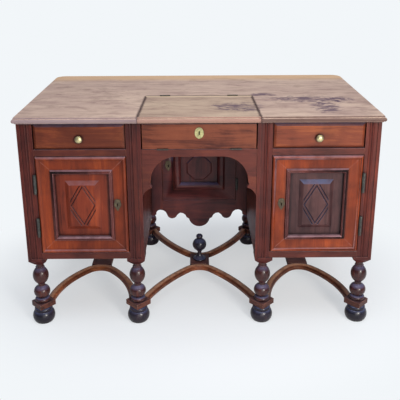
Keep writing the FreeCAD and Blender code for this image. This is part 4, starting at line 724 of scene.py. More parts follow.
class Finishes:
    """Every finish of the desk, built once and fetched by name."""

    WOODS: tuple[WoodFinish, ...] = (
        WoodFinish("walnut_posts", tint(38, 11, 13), tint(80, 31, 25), tint(111, 46, 30), painted_sheen_amount=0.3,
                   rubbed_and_highlit=tint(160, 92, 76), rub_and_highlight_amount=0.6),
        WoodFinish("walnut_rails", tint(46, 17, 15), tint(88, 39, 31), tint(116, 57, 36)),
        WoodFinish("walnut_door_frames", tint(62, 18, 6), tint(120, 47, 20), tint(149, 64, 24),
                   rubbed_and_highlit=tint(182, 126, 116), rub_and_highlight_amount=0.6),
        WoodFinish("walnut_mouldings", tint(42, 17, 20), tint(81, 38, 34), tint(109, 54, 46),
                   rubbed_and_highlit=tint(176, 130, 132), rub_and_highlight_amount=0.8),
        WoodFinish("walnut_left_panel", tint(57, 18, 10), tint(113, 44, 24), tint(139, 60, 30),
                   rubbed_and_highlit=tint(160, 112, 104)),
        WoodFinish("walnut_right_panel", tint(43, 24, 27), tint(79, 50, 49), tint(101, 64, 60),
                   rubbed_and_highlit=tint(146, 120, 122), painted_sheen=tint(96, 112, 150), painted_sheen_amount=0.85),
        WoodFinish("walnut_drawer_fronts", tint(57, 21, 13), tint(112, 52, 32), tint(145, 75, 40),
                   painted_sheen=tint(78, 76, 98), painted_sheen_amount=0.8),
        WoodFinish("walnut_fall", tint(68, 27, 18), tint(115, 59, 38), tint(145, 78, 48)),
        WoodFinish("walnut_recess", tint(42, 18, 23), tint(81, 37, 37), tint(106, 50, 41), rub_and_highlight_amount=0.3,
                   painted_sheen=tint(90, 90, 122), painted_sheen_amount=0.7, grime_and_shade_amount=0.7),
        WoodFinish("walnut_legs", tint(23, 10, 14), tint(58, 26, 24), tint(101, 48, 33),
                   roughness=0.30, coat=0.4, rub_and_highlight_amount=0.4, painted_sheen=tint(120, 120, 156),
                   painted_sheen_amount=0.5, painted_sheen_from=0.42),
        WoodFinish("walnut_feet", tint(15, 15, 24), tint(32, 26, 38), tint(57, 42, 48),
                   roughness=0.30, coat=0.4, rub_and_highlight_amount=0.3, painted_sheen=tint(92, 100, 134),
                   painted_sheen_amount=0.55, painted_sheen_from=0.4),
        # The stretchers' pale painted sheen and pale rubbed colour paint the sun's highlight on their ridges.
        WoodFinish("walnut_stretchers", tint(47, 24, 20), tint(111, 61, 41), tint(168, 97, 58), roughness=0.34,
                   coat=0.4, rub_and_highlight_amount=0.9, rubbed_and_highlit=tint(206, 150, 108), painted_sheen=tint(206, 160, 132),
                   painted_sheen_amount=0.9, painted_sheen_from=0.66),
        WoodFinish("walnut_slabs", tint(40, 22, 20), tint(88, 48, 38), tint(118, 68, 50), rub_and_highlight_amount=0.9,
                   rubbed_and_highlit=tint(186, 140, 116), painted_sheen_amount=0.2),
        WoodFinish("secondary_wood", tint(112, 74, 52), tint(156, 112, 82), tint(184, 144, 110), roughness=0.72,
                   coat=0.0, rub_and_highlight_amount=0.2, rubbed_and_highlit=tint(196, 166, 126), grime_and_shade=tint(70, 50, 36),
                   grime_and_shade_amount=0.6, painted_sheen_amount=0.0),
    )
    TOPS: tuple[BleachedTopFinish, ...] = (
        BleachedTopFinish("bleached_top", tint(132, 106, 96), tint(186, 157, 142), tint(212, 184, 162),
                          roughness=0.6, coat=0.05, rubbed_and_highlit=tint(196, 164, 150), grime_and_shade=tint(62, 42, 42),
                          grime_and_shade_amount=0.7, relief=0.0004, painted_sheen_amount=0.0),
        BleachedTopFinish("bleached_flap", tint(132, 106, 90), tint(180, 152, 132), tint(204, 178, 152),
                          roughness=0.58, coat=0.05, rubbed_and_highlit=tint(218, 188, 166), grime_and_shade=tint(62, 42, 42),
                          grime_and_shade_amount=0.7, relief=0.0004, painted_sheen_amount=0.0, pale_edge_share=0.8,
                          moulding=tint(152, 118, 108), moulding_right=tint(150, 112, 100)),
    )
    METALS: tuple[MetalFinish, ...] = (
        MetalFinish("knob_brass", tint(196, 186, 140), tint(150, 142, 104), 0.42, 0.34),
        MetalFinish("plate_brass", tint(176, 170, 122), tint(122, 122, 86), 0.5, 0.4),
        MetalFinish("dull_brass", tint(132, 118, 88), tint(76, 68, 54), 0.62, 0.5),
        MetalFinish("iron", tint(112, 116, 108), tint(58, 58, 56), 0.6, 0.5, 0.7),
    )

    def __init__(self, effects: Effects) -> None:
        """Builds each finish with the shared effects."""
        every = (*self.WOODS, *self.TOPS, *self.METALS)
        self.by_name = {finish.name: finish.build(effects) for finish in every}

    def __getitem__(self, name: str) -> Material:
        """The material of that name."""
        return self.by_name[name]


# Mesh helpers


def body_of(node: str) -> str:
    """The body that a node belongs to."""
    return frame["nodes"][node]["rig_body"]


def placed(name: str, data: bpy.types.ID) -> bpy.types.Object:
    """A new object of that data in the scene."""
    item = bpy.data.objects.new(name, data)
    bpy.context.scene.collection.objects.link(item)
    return item


def islands(mesh: Mesh) -> list[list[Vert]]:
    """The vertices of each separate solid in a mesh.

    Args:
        mesh: the mesh.

    Returns:
        One list of vertices for each solid, in the order of its first vertex.
    """
    seen: set[Vert] = set()
    found = []
    for first in mesh.verts:
        if first in seen:
            continue
        seen.add(first)
        solid = [first]
        for vert in solid:
            for edge in vert.link_edges:
                other = edge.other_vert(vert)
                if other not in seen:
                    seen.add(other)
                    solid.append(other)
        found.append(solid)
    return found


GRAIN_AXES = {Along.X: (0, 1, 2), Along.Y: (1, 0, 2), Along.Z: (2, 0, 1)}


def longest_axis(solid: Sequence[Vert]) -> Along:
    """The axis along which a solid is longest."""
    spans = [max(v.co[i] for v in solid) - min(v.co[i] for v in solid) for i in range(3)]
    return (Along.X, Along.Y, Along.Z)[spans.index(max(spans))]


def mark_grain(mesh: Mesh, along: Along, seed: str) -> None:
    """Writes where each point lies in the board it was cut from, so that every board has its own figure.

    Args:
        mesh: the mesh, whose solids are the boards.
        along: direction of the grain.
        seed: text that makes the boards of this piece differ from those of others.
    """
    draw = random.Random(seed)
    grain = mesh.verts.layers.float_vector.new("grain")
    tone = mesh.verts.layers.float.new("tone")
    for solid in islands(mesh):
        run = longest_axis(solid) if along is Along.LONGEST else along
        shift = Vector([draw.uniform(0, 9) for _ in range(3)])
        shade = draw.random()
        for vert in solid:
            vert[grain] = Vector([vert.co[axis] for axis in GRAIN_AXES[run]]) + shift
            vert[tone] = shade


def finished(mesh: Mesh, name: str, material: Material, body: str,
             nodes: Sequence[str] = (), smooth_angle: float = BOARD_ANGLE) -> bpy.types.Object:
    """Turns a mesh into a piece of the desk.

    Args:
        mesh: the mesh; it is freed.
        name: name of the piece.
        material: its finish.
        body: body that it rides on.
        nodes: nodes that it stands in for.
        smooth_angle: edges sharper than this stay crisp, in degrees; 0 leaves every face flat.

    Returns:
        The object.
    """
    data = bpy.data.meshes.new(name)
    for face in mesh.faces:
        face.smooth = smooth_angle > 0
    mesh.to_mesh(data)
    mesh.free()
    data.set_sharp_from_angle(angle=math.radians(smooth_angle))
    data.materials.append(material)
    piece = placed(name, data)
    even = piece.modifiers.new("even_faces", "WEIGHTED_NORMAL")
    even.keep_sharp = True
    even.weight = 50
    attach(piece, body)
    if nodes:
        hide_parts(*nodes)
    LOG.info("%s: %d faces on %s", name, len(data.polygons), body)
    return piece


def part_touching(mesh: Mesh) -> None:
    """Parts closed solids that only share corners or edges; faces that don't close stay as they are.

    Solids are found in the order of their first faces, so that each keeps its grain from run to run.

    Args:
        mesh: the merged mesh of a node.
    """
    left = set(mesh.faces)
    solids = []
    for first in mesh.faces:
        if first not in left:
            continue
        left.remove(first)
        solid = [first]
        for face in solid:
            for edge in face.edges:
                if len(edge.link_faces) == 2:
                    fresh = [other for other in edge.link_faces if other in left]
                    left.difference_update(fresh)
                    solid.extend(fresh)
        members = set(solid)
        if all(sum(other in members for other in edge.link_faces) == 2
               for face in solid for edge in face.edges):
            solids.append(solid)
    for solid in solids:
        bmesh.ops.split(mesh, geom=solid)


def node_mesh(node: str) -> Mesh:
    """A merged copy of a node, with its flat faces made whole.

    Args:
        node: name of the node.

    Returns:
        The copy.
    """
    mesh = bmesh.new()
    mesh.from_mesh(frame["nodes"][node].data)
    bmesh.ops.remove_doubles(mesh, verts=mesh.verts, dist=NODE_MERGE)
    part_touching(mesh)
    bmesh.ops.dissolve_limit(mesh, angle_limit=math.radians(PLANE_ANGLE), verts=mesh.verts, edges=mesh.edges)
    return mesh


def bevelled(mesh: Mesh, edges: Sequence[Edge], width: float, segments: int) -> None:
    """Rounds edges of a mesh.

    Args:
        mesh: the mesh.
        edges: the edges.
        width: width of the rounding.
        segments: faces across it.
    """
    bmesh.ops.bevel(mesh, geom=edges, offset=width, offset_type="OFFSET", segments=segments, profile=0.5,
                    affect="EDGES", clamp_overlap=True, material=-1)


def soften(mesh: Mesh, corner: Corner, from_angle: float = ARRIS_ANGLE) -> None:
    """Rounds the arrises of a mesh, except where two solids of a node share a corner.

    Args:
        mesh: the mesh.
        corner: how softly.
        from_angle: flatter edges are left, in degrees.
    """
    sharp = [edge for edge in mesh.edges
             if edge.is_manifold and all(vert.is_manifold for vert in edge.verts)
             and edge.calc_face_angle(0.0) > math.radians(from_angle)]
    bevelled(mesh, sharp, corner.value, 2)


def board_piece(node: str, material: Material, along: Along = Along.LONGEST,
                corner: Corner = Corner.JOINERY, smooth_angle: float = BOARD_ANGLE) -> bpy.types.Object:
    """A node dressed as joinery: arrises softened, and each board with its own grain.

    Args:
        node: name of the node.
        material: its finish.
        along: direction of the grain.
        corner: how softly its arrises are rounded.
        smooth_angle: edges sharper than this stay crisp, in degrees.

    Returns:
        The object.
    """
    mesh = node_mesh(node)
    mark_grain(mesh, along, node)
    soften(mesh, corner)
    return finished(mesh, f"{node}_wood", material, body_of(node), (node,), smooth_angle)


def metal_pieces(material: Material, *nodes: str) -> None:
    """Dresses nodes as metal fittings with their edges eased.

    Args:
        material: their finish.
        nodes: names of the nodes.
    """
    for node in nodes:
        mesh = node_mesh(node)
        soften(mesh, Corner.THIN)
        finished(mesh, f"{node}_metal", material, body_of(node), (node,))


def arc(start: ProfilePoint, through: ProfilePoint, end: ProfilePoint, steps: int) -> list[ProfilePoint]:
    """Points along the arc through three points, without its first point.

    Args:
        start: where it begins.
        through: a point on it.
        end: where it ends.
        steps: number of points.

    Returns:
        The points, the last of them the end.
    """
    (ax, ay), (bx, by), (cx, cy) = start, through, end
    d = 2.0 * (ax * (by - cy) + bx * (cy - ay) + cx * (ay - by))
    squares = (ax * ax + ay * ay, bx * bx + by * by, cx * cx + cy * cy)
    ux = (squares[0] * (by - cy) + squares[1] * (cy - ay) + squares[2] * (ay - by)) / d
    uy = (squares[0] * (cx - bx) + squares[1] * (ax - cx) + squares[2] * (bx - ax)) / d
    radius = math.hypot(ax - ux, ay - uy)
    first = math.atan2(ay - uy, ax - ux)
    middle = (math.atan2(by - uy, bx - ux) - first) % (2.0 * math.pi)
    last = (math.atan2(cy - uy, cx - ux) - first) % (2.0 * math.pi)
    sweep = last if middle <= last else last - 2.0 * math.pi
    points = []
    for step in range(1, steps + 1):
        angle = first + sweep * step / steps
        points.append((ux + radius * math.cos(angle), uy + radius * math.sin(angle)))
    points[-1] = end
    return points


def spun(profile: Sequence[ProfilePoint], steps: int) -> Mesh:
    """A turned solid from a profile of radius and height, closed at both ends.

    Args:
        profile: radius and height of each point, from the bottom up.
        steps: faces round the turning.

    Returns:
        The mesh, standing on Z.
    """
    mesh = bmesh.new()
    points = [(0.0, profile[0][1]), *profile, (0.0, profile[-1][1])]
    verts = [mesh.verts.new((radius, 0.0, height)) for radius, height in points]
    edges = [mesh.edges.new(pair) for pair in zip(verts, verts[1:])]
    bmesh.ops.spin(mesh, geom=[*verts, *edges], cent=(0, 0, 0), axis=(0, 0, 1), angle=math.tau, steps=steps,
                   use_merge=True)
    bmesh.ops.remove_doubles(mesh, verts=mesh.verts, dist=MERGE)
    bmesh.ops.recalc_face_normals(mesh, faces=mesh.faces)
    return mesh


def joined(meshes: Sequence[Mesh]) -> Mesh:
    """One mesh that holds several, which are freed."""
    whole = bmesh.new()
    for mesh in meshes:
        carrier = bpy.data.meshes.new("carrier")
        mesh.to_mesh(carrier)
        mesh.free()
        whole.from_mesh(carrier)
        bpy.data.meshes.remove(carrier)
    return whole


def moved(mesh: Mesh, place: Sequence[float]) -> Mesh:
    """The mesh, moved by a vector."""
    bmesh.ops.translate(mesh, verts=mesh.verts, vec=Vector(place))
    return mesh


def copied(mesh: Mesh, placement: Matrix) -> Mesh:
    """A copy of a mesh under a placement, with its faces still looking outwards."""
    twin = mesh.copy()
    bmesh.ops.transform(twin, matrix=placement, verts=twin.verts)
    if placement.determinant() < 0.0:
        bmesh.ops.reverse_faces(twin, faces=twin.faces)
    return twin


def block(low: Sequence[float], high: Sequence[float]) -> Mesh:
    """A sharp squared block between its lowest and highest corner."""
    mesh = bmesh.new()
    bmesh.ops.create_cube(mesh, size=1.0)
    bmesh.ops.scale(mesh, vec=Vector(high) - Vector(low), verts=mesh.verts)
    return moved(mesh, (Vector(low) + Vector(high)) / 2.0)


def eased_block(low: Sequence[float], high: Sequence[float]) -> Mesh:
    """A squared block with eased arrises."""
    mesh = block(low, high)
    bevelled(mesh, mesh.edges[:], SLAB_EASING, 3)
    return mesh


def turned_piece(mesh: Mesh, name: str, material: Material, node: str, seed: str, nodes: Sequence[str]) -> None:
    """A turned piece with upright grain.

    Args:
        mesh: its mesh; it is freed.
        name: name of the piece.
        material: its finish.
        node: node whose body it rides on.
        seed: text that its grain is drawn from.
        nodes: nodes that it stands in for.
    """
    mark_grain(mesh, Along.Z, seed)
    finished(mesh, name, material, body_of(node), nodes, TURNED_ANGLE)


# Sub-assemblies


@dataclass
class Stand:
    """Uprights with their turned legs, bun feet, three X stretchers and the finial.

    Attributes:
        finishes: the materials.
        outer_x: distance of the outer uprights from the middle.
        inner_x: distance of the inner uprights from the middle.
        post_y: distance of the uprights from the middle, front and back.
        leg_base: height at which the turned legs begin; ring, disc and ball follow each other upwards.
        post_neck: height at which the leg meets its square post.
        turning_steps: faces round a turned piece.
        foot_height: height of the bun feet; their base, widest place and top follow as radii and heights.
        slab: thickness of the stretchers.
        arm_side: height of an arm's upright side.
        waist_width: width of the square waist between the arms.
        waist_depth: depth of that waist.
        apex_radius: radius of the curve in which two arms meet at the waist.
        apex_turn: half of the angle of that curve in degrees.
        centre_bulge: how far an arm of the middle stretcher swings off the straight line.
        side_bulge: the same for the side stretchers.
        pad_half: half of the width of the square pad under a leg.
        pad_inner: how far that pad reaches towards its arm.
        lap_gap: gap between the halves of a pad that two stretchers share.
    """

    finishes: Finishes
    outer_x: float = 0.590
    inner_x: float = 0.232
    post_y: float = 0.328
    leg_base: float = 0.082
    ring_shoulder: float = 0.021
    ring_radius: float = 0.028
    ring_height: float = 0.018
    disc_radius: float = 0.030
    disc_height: float = 0.046
    slim_neck: float = 0.0135
    slim_neck_height: float = 0.011
    ball_radius: float = 0.029
    ball_height: float = 0.064
    upper_neck: float = 0.014
    post_neck: float = 0.238
    turning_steps: int = 48
    foot_height: float = 0.062
    foot_base: float = 0.033
    foot_radius: float = 0.041
    foot_widest: float = 0.023
    foot_top: float = 0.027
    slab: float = 0.020
    arm_width: float = 0.031
    arm_side: float = 0.011
    waist_width: float = 0.080
    waist_depth: float = 0.092
    apex_radius: float = 0.072
    apex_turn: float = 42.0
    centre_bulge: float = 0.015
    side_bulge: float = 0.024
    pad_half: float = 0.030
    pad_inner: float = 0.036
    lap_gap: float = 0.0002

    def build(self) -> None:
        """Builds every piece of the stand."""
        for depth in ("front", "rear"):
            for side in ("left", "right"):
                for place in ("outer", "inner"):
                    self.upright(f"{depth}_{side}_{place}_upright", depth, side, place)
        self.feet()
        self.stretchers()
        self.finial()

    def leg_profile(self) -> list[ProfilePoint]:
        """Radius and height of the turned leg from the slab up to the square post."""
        z = self.leg_base
        ring_top = z + self.ring_height
        disc_top = ring_top + self.disc_height
        neck_top = disc_top + self.slim_neck_height
        ball_top = neck_top + self.ball_height
        collar = self.slim_neck + 0.003
        points = [(self.ring_shoulder, z)]
        points += arc(points[-1], (self.ring_radius, z + self.ring_height / 2),
                      (self.ring_shoulder, ring_top), 10)
        points += [(collar, ring_top), (collar, ring_top + 0.0015), (self.slim_neck + 0.001, ring_top + 0.002)]
        points += arc((self.slim_neck, ring_top), (self.disc_radius, ring_top + self.disc_height / 2),
                      (self.slim_neck, disc_top), 18)[1:-1]
        points += arc((self.slim_neck + 0.001, disc_top - 0.001),
                      (self.slim_neck - 0.0008, (disc_top + neck_top) / 2), (self.slim_neck, neck_top), 5)
        points += arc(points[-1], (self.ball_radius, neck_top + self.ball_height / 2),
                      (self.upper_neck, ball_top), 22)
        fillet = self.upper_neck + 0.0024
        return [*points, (fillet, ball_top + 0.001), (fillet, ball_top + 0.0035),
                (self.upper_neck, ball_top + 0.0045), (self.upper_neck - 0.0005, self.post_neck - 0.004),
                (self.upper_neck + 0.001, self.post_neck + 0.003)]

    def upright(self, node: str, depth: str, side: str, place: str) -> None:
        """One upright: the post keeps its cut shape, and its leg is turned round.

        Args:
            node: name of the node.
            depth: front or rear.
            side: left or right.
            place: outer or inner.
        """
        x = (self.outer_x if place == "outer" else self.inner_x) * (-1.0 if side == "left" else 1.0)
        y = -self.post_y if depth == "front" else self.post_y
        post = node_mesh(node)
        cut = bmesh.ops.bisect_plane(post, geom=[*post.verts, *post.edges, *post.faces], dist=MERGE,
                                     plane_co=(0, 0, self.post_neck), plane_no=(0, 0, 1), clear_inner=True)
        bmesh.ops.holes_fill(post, edges=[item for item in cut["geom_cut"] if isinstance(item, Edge)])
        mark_grain(post, Along.Z, node)
        soften(post, Corner.CRISP)
        finished(post, f"{node}_post", self.finishes["walnut_posts"], body_of(node), (node,))
        leg = moved(spun(self.leg_profile(), self.turning_steps), (x, y, 0.0))
        turned_piece(leg, f"{node}_leg", self.finishes["walnut_legs"], node, node + "leg", ())

    def feet(self) -> None:
        """Eight bun feet in two groups."""
        z = self.foot_height
        shoulder = (self.foot_top + 0.0068, z - 0.0185)
        points = [(self.foot_base - 0.002, 0.0), (self.foot_base, 0.0008)]
        points += arc(points[-1], (self.foot_radius, self.foot_widest), shoulder, 18)
        points += [(shoulder[0] - 0.0022, shoulder[1] + rise) for rise in (0.0012, 0.0026)]
        points += arc(points[-1], (shoulder[0] - 0.0006, z - 0.011), (self.foot_top, z - 0.003), 8)
        points += [(self.foot_top, z)]
        foot = spun(points, self.turning_steps)
        for name, y in (("front_bun_feet", -self.post_y), ("rear_bun_feet", self.post_y)):
            group = joined([copied(foot, Matrix.Translation((x, y, 0.0)))
                            for x in (-self.outer_x, -self.inner_x, self.inner_x, self.outer_x)])
            turned_piece(group, f"{name}_turned", self.finishes["walnut_feet"], name, name, (name,))
        foot.free()

    def arm_profile(self) -> list[ProfilePoint]:
        """Section of an arm: distance across its run, and height over its underside."""
        half = self.arm_width / 2
        side = self.arm_side
        right = [(half - 0.001, 0.0), (half, 0.001), (half, side - 0.0015), (half - 0.0012, side)]
        right += arc((half - 0.0022, side), (half * 0.62, self.slab * 0.86), (0.0022, self.slab - 0.0003), 7)
        return [*right, (0.0, self.slab), *[(-across, rise) for across, rise in reversed(right)]]

    def swept_arm(self, route: Sequence[Vector]) -> Mesh:
        """The arm's section carried along a route in plan.

        Args:
            route: points of the centre line.

        Returns:
            The closed mesh.
        """
        mesh = bmesh.new()
        section = self.arm_profile()
        frames = []
        for index, point in enumerate(route):
            ahead = route[min(index + 1, len(route) - 1)] - route[max(index - 1, 0)]
            across = Vector((ahead.y, -ahead.x, 0.0)).normalized()
            frames.append([point + across * side + Vector((0, 0, self.foot_height + rise))
                           for side, rise in section])
        ring = [mesh.verts.new(place) for place in frames[0]]
        edges = list(mesh.faces.new(ring).edges)
        for places in frames[1:]:
            grown = bmesh.ops.extrude_edge_only(mesh, edges=edges)["geom"]
            edges = [item for item in grown if isinstance(item, Edge)
                     and all(vert in grown for vert in item.verts) and len(item.link_faces) == 1]
            partner = {edge.other_vert(vert): vert for vert in grown if isinstance(vert, Vert)
                       for edge in vert.link_edges}
            ring = [partner[vert] for vert in ring]
            for vert, place in zip(ring, places):
                vert.co = place
        mesh.faces.new(ring)
        bmesh.ops.recalc_face_normals(mesh, faces=mesh.faces)
        return mesh

    def half_route(self, half_span: float, bulge: float) -> list[Vector]:
        """The centre line from the left pad round the apex to the right pad, front half of a bay.

        Args:
            half_span: half of the distance between the two legs.
            bulge: how far the arm swings off the straight line.

        Returns:
            The points, from left to right.
        """
        apex_y = -self.waist_depth / 2 - 0.005
        centre_y = apex_y - self.apex_radius
        turn = math.radians(self.apex_turn)
        shoulder = (math.sin(turn) * self.apex_radius, centre_y + math.cos(turn) * self.apex_radius)
        reach = (self.pad_half + SLAB_EASING) * math.sqrt(0.5)
        end = (half_span - reach, -self.post_y + reach)
        run = Vector((end[0] - shoulder[0], end[1] - shoulder[1]))
        middle = (Vector(end) + Vector(shoulder)) / 2 + Vector((-run.y, run.x)).normalized() * bulge
        arm = [shoulder, *arc(shoulder, (middle.x, middle.y), end, 16)]
        apex = arc((-shoulder[0], shoulder[1]), (0.0, apex_y), shoulder, 14)
        left = [(-x, y) for x, y in reversed(arm)]
        return [Vector((x, y, 0.0)) for x, y in [*left, *apex[:-1], *arm]]

    def pad(self, lap: Lap) -> list[Mesh]:
        """The square slab under a leg, set on the diagonal.

        Args:
            lap: how it shares the leg with the slab of another stretcher.

        Returns:
            Its blocks, the second of them always of full thickness.
        """
        half, low, high = self.pad_half, self.foot_height, self.leg_base
        middle = (low + high) / 2
        inner = -half - self.lap_gap
        return [eased_block((inner, -half, middle if lap is Lap.UPPER else low),
                            (half, half, middle if lap is Lap.LOWER else high)),
                eased_block((-self.pad_inner, -half, low), (inner + self.lap_gap, half, high))]

    def slabs(self, half_span: float, laps: tuple[Lap, Lap]) -> list[Mesh]:
        """The waist and the two pads of the front half of a bay's stretcher.

        Args:
            half_span: half of the distance between the legs of the bay.
            laps: how the left and right pads share their legs.

        Returns:
            The meshes that make them up.
        """
        half = self.waist_width / 2
        parts = [eased_block((-half, -self.waist_depth / 2, self.foot_height), (half, -0.0001, self.leg_base))]
        for x, angle, lap in zip((-half_span, half_span), (225.0, -45.0), laps):
            turn = Matrix.Rotation(math.radians(angle), 4, "Z")
            for piece in self.pad(lap):
                parts.append(copied(piece, Matrix.Translation((x, -self.post_y, 0.0)) @ turn))
                piece.free()
        return parts

    def stretchers(self) -> None:
        """The three X stretchers, each of a front and a rear half."""
        side_x = (self.outer_x + self.inner_x) / 2
        side_span = (self.outer_x - self.inner_x) / 2
        plans = (("left_stretcher", -side_x, side_span, self.side_bulge, (Lap.WHOLE, Lap.LOWER)),
                 ("centre_stretcher", 0.0, self.inner_x, self.centre_bulge, (Lap.UPPER, Lap.UPPER)),
                 ("right_stretcher", side_x, side_span, self.side_bulge, (Lap.LOWER, Lap.WHOLE)))
        for name, middle_x, span, bulge, laps in plans:
            pieces = (("arms", "walnut_stretchers", [self.swept_arm(self.half_route(span, bulge))], (name,)),
                      ("slabs", "walnut_slabs", self.slabs(span, laps), ()))
            for label, finish, parts, nodes in pieces:
                front = moved(joined(parts), (middle_x, 0.0, 0.0))
                whole = joined([front, copied(front, Matrix.Diagonal((1.0, -1.0, 1.0, 1.0)))])
                mark_grain(whole, Along.X, name + label)
                finished(whole, f"{name}_{label}", self.finishes[finish], body_of(name), nodes, ARM_ANGLE)

    def finial(self) -> None:
        """The turned finial on the waist of the middle bay."""
        z = self.leg_base
        stem = z + 0.042
        bulb = stem + 0.052
        top = bulb + 0.021
        points = [(0.0262, z)]
        points += arc(points[-1], (0.0268, z + 0.004), (0.0225, z + 0.0078), 6)
        points += [(0.0205, z + 0.0082), (0.0190, z + 0.0092)]
        points += arc(points[-1], (0.0115, z + 0.019), (0.0086, stem - 0.004), 9)
        points += [(0.0108, stem - 0.0035), (0.0108, stem - 0.001), (0.0086, stem)]
        points += arc(points[-1], (0.029, (stem + bulb) / 2), (0.0086, bulb), 22)
        points += [(0.0076, bulb + 0.0006), (0.0084, bulb + 0.0014)]
        points += arc(points[-1], (0.014, bulb + 0.0105), (0.0060, top - 0.001), 12)
        points += [(0.0030, top)]
        node = "stretcher_finial"
        turned_piece(spun(points, self.turning_steps), f"{node}_turned", self.finishes["walnut_feet"], node,
                     "finial", (node,))


@dataclass
class Carcase:
    """Rails, side panels, backs, floors, runners and aprons."""

    finishes: Finishes

    def build(self) -> None:
        """Dresses each board of the case."""
        for node, finish, along, smooth_angle in (
                ("front_rails", "walnut_rails", Along.X, FLAT),
                ("side_rails", "walnut_rails", Along.Y, FLAT),
                ("outer_side_panels", "walnut_rails", Along.Z, FLAT),
                ("inner_side_boards", "walnut_rails", Along.Y, FLAT),
                ("arched_apron", "walnut_rails", Along.X, BOARD_ANGLE),
                ("scalloped_apron", "walnut_recess", Along.X, BOARD_ANGLE),
                ("recess_floor", "secondary_wood", Along.X, FLAT),
                ("back_boards", "secondary_wood", Along.X, FLAT),
                ("pedestal_floors", "secondary_wood", Along.X, FLAT),
                ("drawer_runners", "secondary_wood", Along.Y, FLAT),
                ("well_floor", "secondary_wood", Along.X, FLAT),
                ("well_back", "secondary_wood", Along.X, FLAT)):
            board_piece(node, self.finishes[finish], along, smooth_angle=smooth_angle)
        board_piece("recess_frame", self.finishes["walnut_recess"], Along.LONGEST, Corner.CRISP, FLAT)


@dataclass
class Top:
    """The moulded top boards, the sawn-out flap and its hinges."""

    finishes: Finishes

    def build(self) -> None:
        """Dresses the top."""
        for node, finish in (("top_boards", "bleached_top"), ("writing_flap", "bleached_flap")):
            board_piece(node, self.finishes[finish], Along.X, Corner.CRISP, TOP_ANGLE)
        metal_pieces(self.finishes["iron"], "flap_hinge_fixed_leaves", "flap_hinge_moving_leaves")


@dataclass
class Fronts:
    """Pedestal doors, drawers, the fall front and the centre cupboard door.

    Attributes:
        finishes: the materials.
        bevel_width: width of the bevel round a drawer's field.
        bevel_depth: how far it falls back.
        step_width: width of the fine step at its top.
        step_depth: depth of that step.
    """

    finishes: Finishes
    bevel_width: float = 0.0128
    bevel_depth: float = 0.006
    step_width: float = 0.0012
    step_depth: float = 0.0010

    def build(self) -> None:
        """Dresses all that opens at the front."""
        for side in ("left", "right"):
            board_piece(f"{side}_door_frame", self.finishes["walnut_door_frames"])
            board_piece(f"{side}_door_panel", self.finishes[f"walnut_{side}_panel"], Along.Z, Corner.CRISP)
            board_piece(f"{side}_door_moulding", self.finishes["walnut_mouldings"])
            self.drawer_front(f"{side}_drawer_front")
            board_piece(f"{side}_drawer_box", self.finishes["secondary_wood"])
            metal_pieces(self.finishes["dull_brass"], f"{side}_door_escutcheon")
            metal_pieces(self.finishes["iron"], f"{side}_door_lock", f"{side}_door_hinges")
        board_piece("fall_front", self.finishes["walnut_fall"], Along.X)
        metal_pieces(self.finishes["plate_brass"], "fall_escutcheon")
        metal_pieces(self.finishes["iron"], "fall_lock", "fall_hinge_moving_leaves", "fall_hinge_fixed_leaves",
                     "door_hinge_pintles")
        board_piece("centre_door_frame", self.finishes["walnut_recess"])
        board_piece("centre_door_panel", self.finishes["walnut_recess"], Along.Z, Corner.CRISP)
        metal_pieces(self.finishes["dull_brass"], "centre_door_escutcheon")
        metal_pieces(self.finishes["iron"], "centre_door_lock", "centre_door_hinges")

    def drawer_front(self, node: str) -> None:
        """A drawer front with its raised field, a fine step round the field and softened arrises.

        Args:
            node: name of the node it stands in for.
        """
        low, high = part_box(node)
        mesh = block(low, high)
        front = min(mesh.faces, key=lambda face: face.calc_center_median().y)
        rim = list(front.verts)
        for width in (self.bevel_width, self.step_width):
            bmesh.ops.inset_individual(mesh, faces=[front], thickness=width, depth=0.0)
        bmesh.ops.translate(mesh, vec=(0.0, self.bevel_depth, 0.0), verts=rim)
        field_rim = set(front.verts)
        ledge = [vert for vert in mesh.verts
                 if vert not in field_rim and vert not in rim and abs(vert.co.y - low[1]) < 0.0001]
        bmesh.ops.translate(mesh, vec=(0.0, self.step_depth, 0.0), verts=ledge)
        soften(mesh, Corner.CRISP, FIELD_ARRIS_ANGLE)
        mark_grain(mesh, Along.X, node)
        finished(mesh, f"{node}_wood", self.finishes["walnut_drawer_fronts"], body_of(node), (node,),
                 FIELD_ANGLE)


@dataclass
class Knobs:
    """The two turned brass knobs.

    Attributes:
        finishes: the materials.
        x: distance of their axes from the middle.
        face_y: place of the drawer fronts' faces.
        z: height of their axes.
        steps: faces round the turning.
    """

    finishes: Finishes
    x: float = 0.411
    face_y: float = -0.358
    z: float = 0.722
    steps: int = 40

    def build(self) -> None:
        """Builds both knobs."""
        points = [(0.0074, 0.0), (0.0080, 0.0006), (0.0078, 0.0014)]
        points += arc(points[-1], (0.0052, 0.0024), (0.0045, 0.0042), 5)
        points += arc(points[-1], (0.0070, 0.0056), (0.0112, 0.0066), 5)
        points += arc(points[-1], (0.0129, 0.0100), (0.0112, 0.0138), 7)
        points += arc(points[-1], (0.0072, 0.0164), (0.0010, 0.01745), 8)
        forward = Matrix.Rotation(math.pi / 2, 3, "X")
        for side, x in (("left", -self.x), ("right", self.x)):
            knob = spun(points, self.steps)
            bmesh.ops.rotate(knob, verts=knob.verts, cent=(0, 0, 0), matrix=forward)
            moved(knob, (x, self.face_y, self.z))
            node = f"{side}_drawer_knob"
            finished(knob, f"{node}_turned", self.finishes["knob_brass"], body_of(node), (node,),
                     TURNED_ANGLE)


